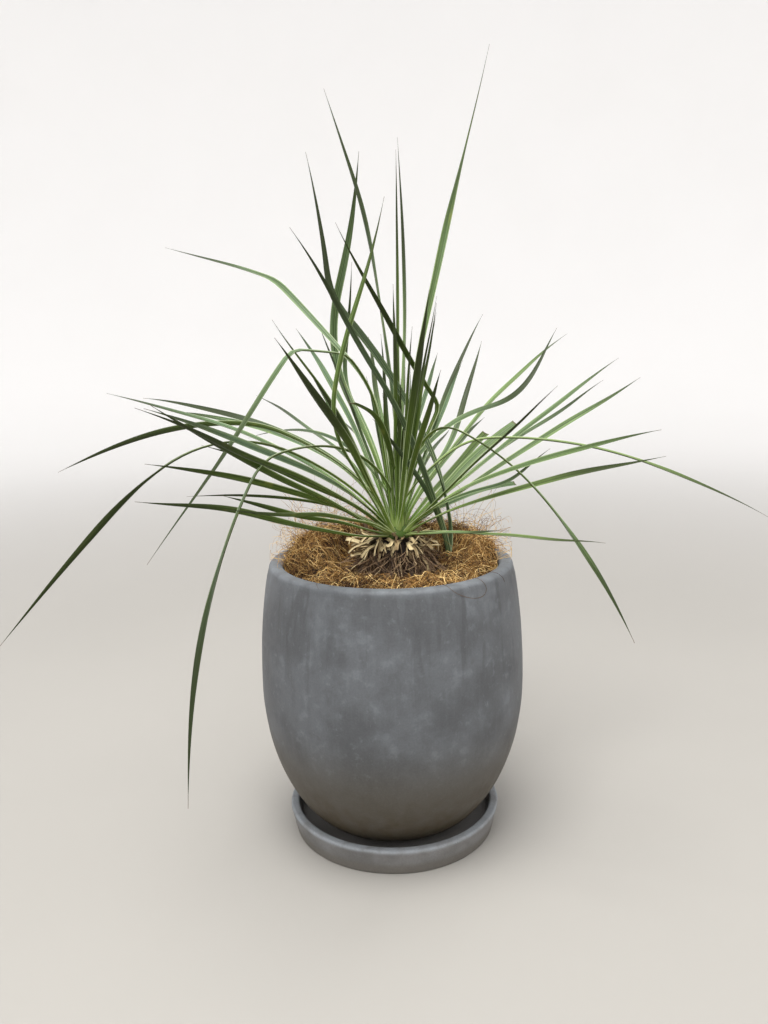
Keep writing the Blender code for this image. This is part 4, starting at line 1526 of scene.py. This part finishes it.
def add_blade(
    draft: Draft, leaf: Leaf, root: Vector, sunk: float, section: Section, draw: random.Random
) -> None:
    """Add one blade: a shallow gutter on top, a round keel below, and two thin edges.

    Args:
        draft: the draft that takes it.
        leaf: the blade.
        root: where it leaves its heart or trunk.
        sunk: how far it runs back into it, in metres.
        section: its shape across.
        draw: the seeded draw for its tone and slight waves.
    """
    # Painted light: a blade heading towards the sunny side gets a higher tone and is painted lighter
    lit = leaf.along(0.55)[0].dot(polar(1.0, SUNNY_SIDE, 0.0))
    tone = TONE_MIDDLE + TONE_LIT * max(lit, TONE_LEAST_LIT) + TONE_SPREAD * (draw.random() - 0.5)
    phase = draw.uniform(0.0, 2.0 * math.pi)
    wobble = draw.uniform(3.0, 9.0)
    sway = draw.uniform(0.4, 1.0) * section.wave * MM
    ring = len(BLADE_ACROSS)
    start = len(draft.points)
    stride = leaf.length * MM / (section.steps * FINE_STEPS)
    here = root.copy()
    shares = []
    for step in range(-1, section.steps + 1):
        share = max(step, 0) / section.steps
        along, up = leaf.along(share)
        roll = leaf.roll(share) + wobble * math.sin(phase + 5.0 * share) * ease(share / 0.3)
        spin = Matrix.Rotation(math.radians(roll), 3, along)
        up = spin @ up
        side = along.cross(up)
        half = section.half_width(leaf, share)
        centre = here - along * sunk if step < 0 else here
        centre = centre + side * (sway * math.sin(phase + 9.0 * share) * ease(share / 0.3))
        fade = 1.0 if leaf.cut else 1.0 - ease((share - 0.8) / 0.2) * 0.75
        thick = (section.thick + (section.thin - section.thick) * share) * fade
        gutter = section.gutter * half * (1.0 - 0.45 * ease(share / 0.5))
        depths = (0.0, -0.75 * gutter, -gutter, -0.75 * gutter, 0.0)
        depths += (-0.62 * gutter - 0.8 * thick, -gutter - thick, -0.62 * gutter - 0.8 * thick)
        for place, depth in zip(BLADE_ACROSS, depths):
            draft.points.append(centre + side * (place * half * MM) + up * (depth * MM))
        shares.append(share)
        draft.guide("share", share, ring)
        if step >= 0:
            for small in range(FINE_STEPS):
                between = (step + (small + 0.5) / FINE_STEPS) / section.steps
                here = here + leaf.along(min(between, 1.0))[0] * stride
    count = len(shares)
    draft.guide("tone", min(max(tone, 0.0), 1.0), ring * count)
    draft.guide("cut", 1.0 if leaf.cut else 0.0, ring * count)
    for index in range(count - 1):
        low, high = start + ring * index, start + ring * (index + 1)
        near, far = shares[index] * leaf.length * MM, shares[index + 1] * leaf.length * MM
        for corner in range(ring):
            after = (corner + 1) % ring
            draft.faces.append((low + corner, low + after, high + after, high + corner))
            left, right = corner * 0.25, (corner + 1) * 0.25
            draft.corners += [(left, near), (right, near), (right, far), (left, far)]
    end = start + ring * (count - 1)
    draft.faces.append(tuple(range(start + ring - 1, start - 1, -1)))
    draft.faces.append(tuple(range(end, end + ring)))
    draft.corners += [(0.5, 0.0)] * ring + [(0.5, leaf.length * MM)] * ring


@dataclass
class Crown:
    """The head of green blades and the short heart that they leave."""

    heart: Vector = field(default_factory=lambda: Vector((5.0 * MM, 0.0, 240.0 * MM)))
    reach: float = 13.0 * MM
    rise: float = 8.0 * MM
    sunk: float = 5.0 * MM
    foot_z: float = 236.4 * MM
    young_count: int = 24
    young_seed: int = 29
    seed: int = 35148
    section: Section = Section()
    finish: BladeFinish = BladeFinish("green_blade_waxy")

    def young_leaves(self) -> list:
        """Give the short inner blades, turned round the heart by the golden angle.

        Returns:
            The blades.
        """
        draw = random.Random(self.young_seed)
        made = []
        for order in range(self.young_count):
            share = order / (self.young_count - 1)
            heading = (40.0 + GOLDEN_ANGLE * order) % 360.0
            length = 90.0 + 90.0 * share + draw.uniform(-25, 25)
            lift = 90.0 - 18.0 * share + draw.uniform(-5, 5)
            splay = draw.uniform(4.0, 8.0 + 22.0 * share)
            if heading > 245.0 or heading < 35.0:
                lift, splay = max(lift, 85.0), splay * 0.4
            width = draw.uniform(3.0, 4.4)
            made.append(Leaf(heading, round(length), lift, splay, width, draw.uniform(50, -50)))
        return made

    def heart_draft(self) -> Draft:
        """Build the heart that holds the blades' feet.

        Returns:
            The draft.
        """
        low = self.foot_z
        outline = [(0.0, low), (11.5 * MM, low), (12.2 * MM, low + 2 * MM), (11.2 * MM, low + 5 * MM)]
        outline += [(8.0 * MM, low + 8 * MM), (4.0 * MM, low + 10 * MM), (0.0, low + 10.5 * MM)]
        draft = turned("crown_heart", outline, 48, hand_cast(0.9 * MM, 7.0), Vector((self.heart.x, 0.0, 0.0)))
        for name, value in (("share", 0.05), ("tone", 0.3), ("cut", 0.0)):
            draft.guide(name, value, len(draft.points))
        draft.corners = [(0.5, 0.0) for face in draft.faces for _ in face]
        return draft

    def build(self) -> None:
        """Build and dress the heart and the blades, side by side."""
        finish = self.finish.dressed()
        installed(self.heart_draft().made(finish), Node.CROWN)
        groups = {
            "blades_upright": UPRIGHT_LEAVES,
            "blades_right": RIGHT_LEAVES,
            "blades_left": LEFT_LEAVES,
            "blades_back": BACK_LEAVES,
            "blades_young": self.young_leaves(),
        }
        draw = random.Random(self.seed)
        for name, leaves in groups.items():
            draft = Draft(name)
            for leaf in leaves:
                root = leaf.root(self.heart, self.reach, self.rise)
                add_blade(draft, leaf, root, self.sunk, self.section, draw)
            installed(draft.made(finish), Node.CROWN)


@dataclass
class SideShoot:
    """A thin stem that rises through the coir and carries a few bluer blades."""

    base: Vector = field(default_factory=lambda: Vector((46.0 * MM, 2.0 * MM, 221.0 * MM)))
    radius: float = 3.0 * MM
    foot_z: float = 180.0 * MM
    seed: int = 29
    section: Section = Section(thick=1.1, thin=0.5, gutter=0.45, flare=0.0, narrow=0.95)
    finish: BladeFinish = BladeFinish(
        "blue_green_blade_waxy",
        fresh=(0.040, 0.074, 0.040),
        top=(0.062, 0.096, 0.048),
        top_blue=(0.086, 0.130, 0.078),
        # under: the underside's painted shade
        under=(0.066, 0.100, 0.050),
        # edge: the pale margin, partly a painted highlight
        edge=(0.300, 0.370, 0.210),
        fresh_until=0.3,
        pale_foot=0.0,
    )

    def build(self) -> None:
        """Build and dress the stem and its blades."""
        finish = self.finish.dressed()
        low, top, wide = self.foot_z, self.base.z, self.radius
        outline = [(0.0, low), (wide * 0.5, low), (wide, low + 5 * MM)]
        outline += [(wide, top - 6 * MM), (wide * 0.9, top - 2 * MM)]
        outline += [(wide * 0.6, top + 2 * MM), (wide * 0.3, top + 4 * MM), (0.0, top + 4.5 * MM)]
        axis = Vector((self.base.x, self.base.y, 0.0))
        stem = turned("shoot_stem", outline, 28, hand_cast(0.25 * MM, 11.0), axis)
        for name, value in (("share", 0.12), ("tone", 0.4), ("cut", 0.0)):
            stem.guide(name, value, len(stem.points))
        stem.corners = [(0.5, 0.1) for face in stem.faces for _ in face]
        installed(stem.made(finish), Node.SHOOT)
        draft = Draft("shoot_blades")
        draw = random.Random(self.seed)
        for leaf in SHOOT_LEAVES:
            add_blade(draft, leaf, leaf.root(self.base, 2 * MM, 3 * MM), 4 * MM, self.section, draw)
        installed(draft.made(finish), Node.SHOOT)


@dataclass(frozen=True)
class Tier:
    """One round of dry leaf bases on the trunk."""

    count: int
    low: float
    high: float
    shortest: float
    longest: float
    lift: float
    splay: float
    tone: float
    reach: float


@dataclass
class Trunk:
    """Short trunk, mostly buried, whose top carries the dry, cut bases of old blades."""

    plant_x: float = 5.0 * MM
    radius: float = 20.0 * MM
    foot_z: float = 118.0 * MM
    top_z: float = 236.0 * MM
    tiers: tuple = (
        Tier(30, 214, 224, 7, 12, -35, 22, 0.08, 18.6),
        Tier(40, 222, 230, 9, 16, -18, 36, 0.22, 18.2),
        Tier(46, 227, 235, 14, 26, 0, 36, 0.50, 17.0),
        Tier(50, 232, 239, 19, 32, 14, 46, 0.88, 15.0),
        Tier(38, 236, 241, 12, 22, 32, 66, 0.86, 14.0),
    )
    section: Section = Section(
        thick=0.7,
        thin=0.4,
        gutter=0.60,
        flare=0.5,
        flare_over=0.25,
        narrow=0.8,
        widest=0.5,
        steps=12,
        wave=0.6,
    )
    hairs: int = 620
    base_seed: int = 8
    hair_seed: int = 33

    def stem(self) -> Draft:
        """Build the trunk's own body.

        Returns:
            The draft.
        """
        low, top, wide = self.foot_z, self.top_z, self.radius
        outline = [(0.0, low), (wide * 0.6, low), (wide * 0.9, low + 5 * MM)]
        outline += [(wide, low + 12 * MM), (wide, low + 60 * MM)]
        outline += [(wide - 0.2 * MM, 206 * MM + 3 * MM * step) for step in range(6)]
        outline += [(wide - 1.5 * MM, top - 8 * MM), (wide - 3 * MM, top - 3 * MM)]
        outline += [(wide - 4.5 * MM, top), (0.0, top)]
        axis = Vector((self.plant_x, 0.0, 0.0))
        return turned("trunk_stem", outline, 72, hand_cast(0.9 * MM, 19.0), axis)

    def bases(self) -> Draft:
        """Build the dry leaf bases, tier by tier.

        Returns:
            The draft.
        """
        draft = Draft("dry_leaf_bases")
        draw = random.Random(self.base_seed)
        order = 0
        for tier in self.tiers:
            for _ in range(tier.count):
                order += 1
                heading = (GOLDEN_ANGLE * order + draw.uniform(-24, 24)) % 360.0
                length = draw.uniform(tier.shortest, tier.longest)
                if min(heading, 360.0 - heading) < 24.0:
                    length = min(length, 16.0)
                if 225.0 < heading < 310.0:
                    length *= 0.58
                lift = tier.lift + draw.gauss(0.0, 9.0)
                splay = max(tier.splay + draw.gauss(0.0, 30.0), 8.0)
                width = draw.choice((draw.uniform(1.1, 2.2), draw.uniform(2.0, 3.7)))
                askew = heading + draw.gauss(0.0, 28.0)
                curl = (Bend(draw.uniform(0.35, 0.8), draw.gauss(0.0, 45.0), 0.3),)
                leaf = Leaf(askew, length, lift, splay, width, draw.gauss(0.0, 40.0), curl, True)
                root = polar(tier.reach * MM, heading, draw.uniform(tier.low, tier.high) * MM)
                root.x += self.plant_x
                before = len(draft.points)
                add_blade(draft, leaf, root, 4 * MM, self.section, draw)
                added = len(draft.points) - before
                tone = min(max(draw.gauss(tier.tone, 0.28), 0.0), 1.0)
                draft.guides["tone"][-added:] = [tone] * added
        return draft

    def hair(self, draw: random.Random, steps: int = 7) -> list:
        """Walk one thin root or torn fibre down the trunk and out into the coir.

        Args:
            draw: the seeded draw.
            steps: how many stretches it has.

        Returns:
            Its points.
        """
        bearing = draw.uniform(0.0, 360.0)
        reach = self.radius + draw.uniform(0.0, 4.0) * MM
        height = draw.uniform(216.0, 231.0) * MM
        fall = draw.uniform(1.2, 3.4) * MM
        out = draw.uniform(0.2, 3.2) * MM
        drift = draw.gauss(0.0, 3.0)
        points = []
        for _ in range(steps + 1):
            spot = polar(reach, bearing, max(height, 210.5 * MM))
            spot.x += self.plant_x
            points.append(spot)
            height -= fall
            reach += out
            out += draw.gauss(0.0, 0.5) * MM
            bearing += drift + draw.gauss(0.0, 2.5)
            reach = max(reach, self.radius + 0.3 * MM)
        return points

    def build(self) -> None:
        """Build and dress the stem, the bases and the thin roots."""
        installed(self.stem().made(BarkFinish().dressed()), Node.TRUNK)
        installed(self.bases().made(DryBaseFinish().dressed()), Node.TRUNK)
        hairs = Draft("trunk_roots")
        draw = random.Random(self.hair_seed)
        for _ in range(self.hairs):
            add_strand(hairs, self.hair(draw), draw.uniform(0.18, 0.40) * MM, draw.betavariate(1.4, 2.4))
        finish = FibreFinish(
            "dry_root",
            dark=(0.022, 0.013, 0.008),
            brown=(0.11, 0.062, 0.032),
            golden=(0.30, 0.19, 0.10),
            straw=(0.56, 0.42, 0.24),
        )
        installed(hairs.made(finish.dressed()), Node.TRUNK)


@dataclass
class Studio:
    """Plain pale floor, soft light and the camera at the photo's place."""

    eye: Vector = field(default_factory=lambda: Vector((-0.0046, -0.644, 0.381)))
    pitch: float = 10.95
    roll: float = -0.98
    lens: float = 29.88
    flat: float = 2.2
    sweep: float = 1.6
    top: float = 4.2
    sky: tuple = (0.97, 0.975, 1.0)
    sky_strength: float = 0.88

    def floor(self) -> None:
        """Lay the floor, which sweeps up all round into a pale wall that is open at the top."""
        outline = [(0.0, 0.0), (0.5, 0.0), (self.flat, 0.0)]
        outline += rounded((self.flat, self.sweep), self.sweep, -85, 0, 17)
        wall = self.flat + self.sweep
        outline += [(wall, self.top), (wall + 0.05, self.top), (wall + 0.05, -0.05), (0.0, -0.05)]
        draft = turned("studio_floor", outline, 128, hand_cast(0.0, 0.0))
        draft.made(FloorFinish().dressed(), 40.0)

    def lamp(self, name: str, place: Vector, aim: Vector, size: float, watts: float, tint: tuple) -> None:
        """Hang one square soft lamp.

        Args:
            name: its name.
            place: where it hangs.
            aim: the point that it faces.
            size: its side in metres.
            watts: its power.
            tint: its colour.
        """
        data = bpy.data.lights.new(name, "AREA")
        data.shape = "SQUARE"
        data.size = size
        data.energy = watts
        data.color = tint
        made = bpy.data.objects.new(name, data)
        made.location = place
        made.rotation_euler = (aim - place).to_track_quat("-Z", "Y").to_euler()
        bpy.context.scene.collection.objects.link(made)

    def lights(self) -> None:
        """Hang the lamps and set the sky."""
        aim = Vector((0.0, 0.0, 0.22))
        self.lamp("overhead_light", Vector((-0.15, -0.35, 1.9)), aim, 0.9, 36.0, (1.0, 0.985, 0.95))
        self.lamp("front_light", Vector((-0.9, -1.9, 1.5)), aim, 1.3, 14.0, (0.98, 0.99, 1.0))
        self.lamp("side_light", Vector((1.8, -0.3, 1.2)), aim, 1.2, 5.0, (1.0, 0.98, 0.95))
        world = bpy.data.worlds.new("studio_sky")
        world.use_nodes = True
        sky = world.node_tree.nodes["Background"]
        sky.inputs["Color"].default_value = (*self.sky, 1.0)
        sky.inputs["Strength"].default_value = self.sky_strength
        bpy.context.scene.world = world

    def camera(self) -> None:
        """Set the camera at the photo's viewing angle."""
        data = bpy.data.cameras.new("photo_camera")
        data.sensor_fit = "AUTO"
        data.sensor_width = 36.0
        data.lens = self.lens
        data.clip_start = 0.02
        data.clip_end = 40.0
        made = bpy.data.objects.new("photo_camera", data)
        pitch, roll = math.radians(self.pitch), math.radians(self.roll)
        ahead = Vector((0.0, math.cos(pitch), -math.sin(pitch)))
        level_up = Vector((0.0, math.sin(pitch), math.cos(pitch)))
        level_right = Vector((1.0, 0.0, 0.0))
        right = level_right * math.cos(roll) + level_up * math.sin(roll)
        up = level_up * math.cos(roll) - level_right * math.sin(roll)
        facing = Matrix((right, up, -ahead)).transposed().to_4x4()
        made.matrix_world = Matrix.Translation(self.eye) @ facing
        bpy.context.scene.collection.objects.link(made)
        bpy.context.scene.camera = made

    def build(self) -> None:
        """Set up the whole studio."""
        self.camera()
        self.floor()
        self.lights()
        bpy.context.scene.view_settings.view_transform = "Standard"


def main() -> None:
    """Build every sub-assembly from the saucer up."""
    logging.basicConfig(level=logging.INFO, format="%(name)s: %(message)s")
    for part in (Saucer(), Pot(), Filling(), Coir(), Trunk(), Crown(), SideShoot(), Studio()):
        part.build()
        log.info("%s built", type(part).__name__)


if __name__ == "__main__":
    main()
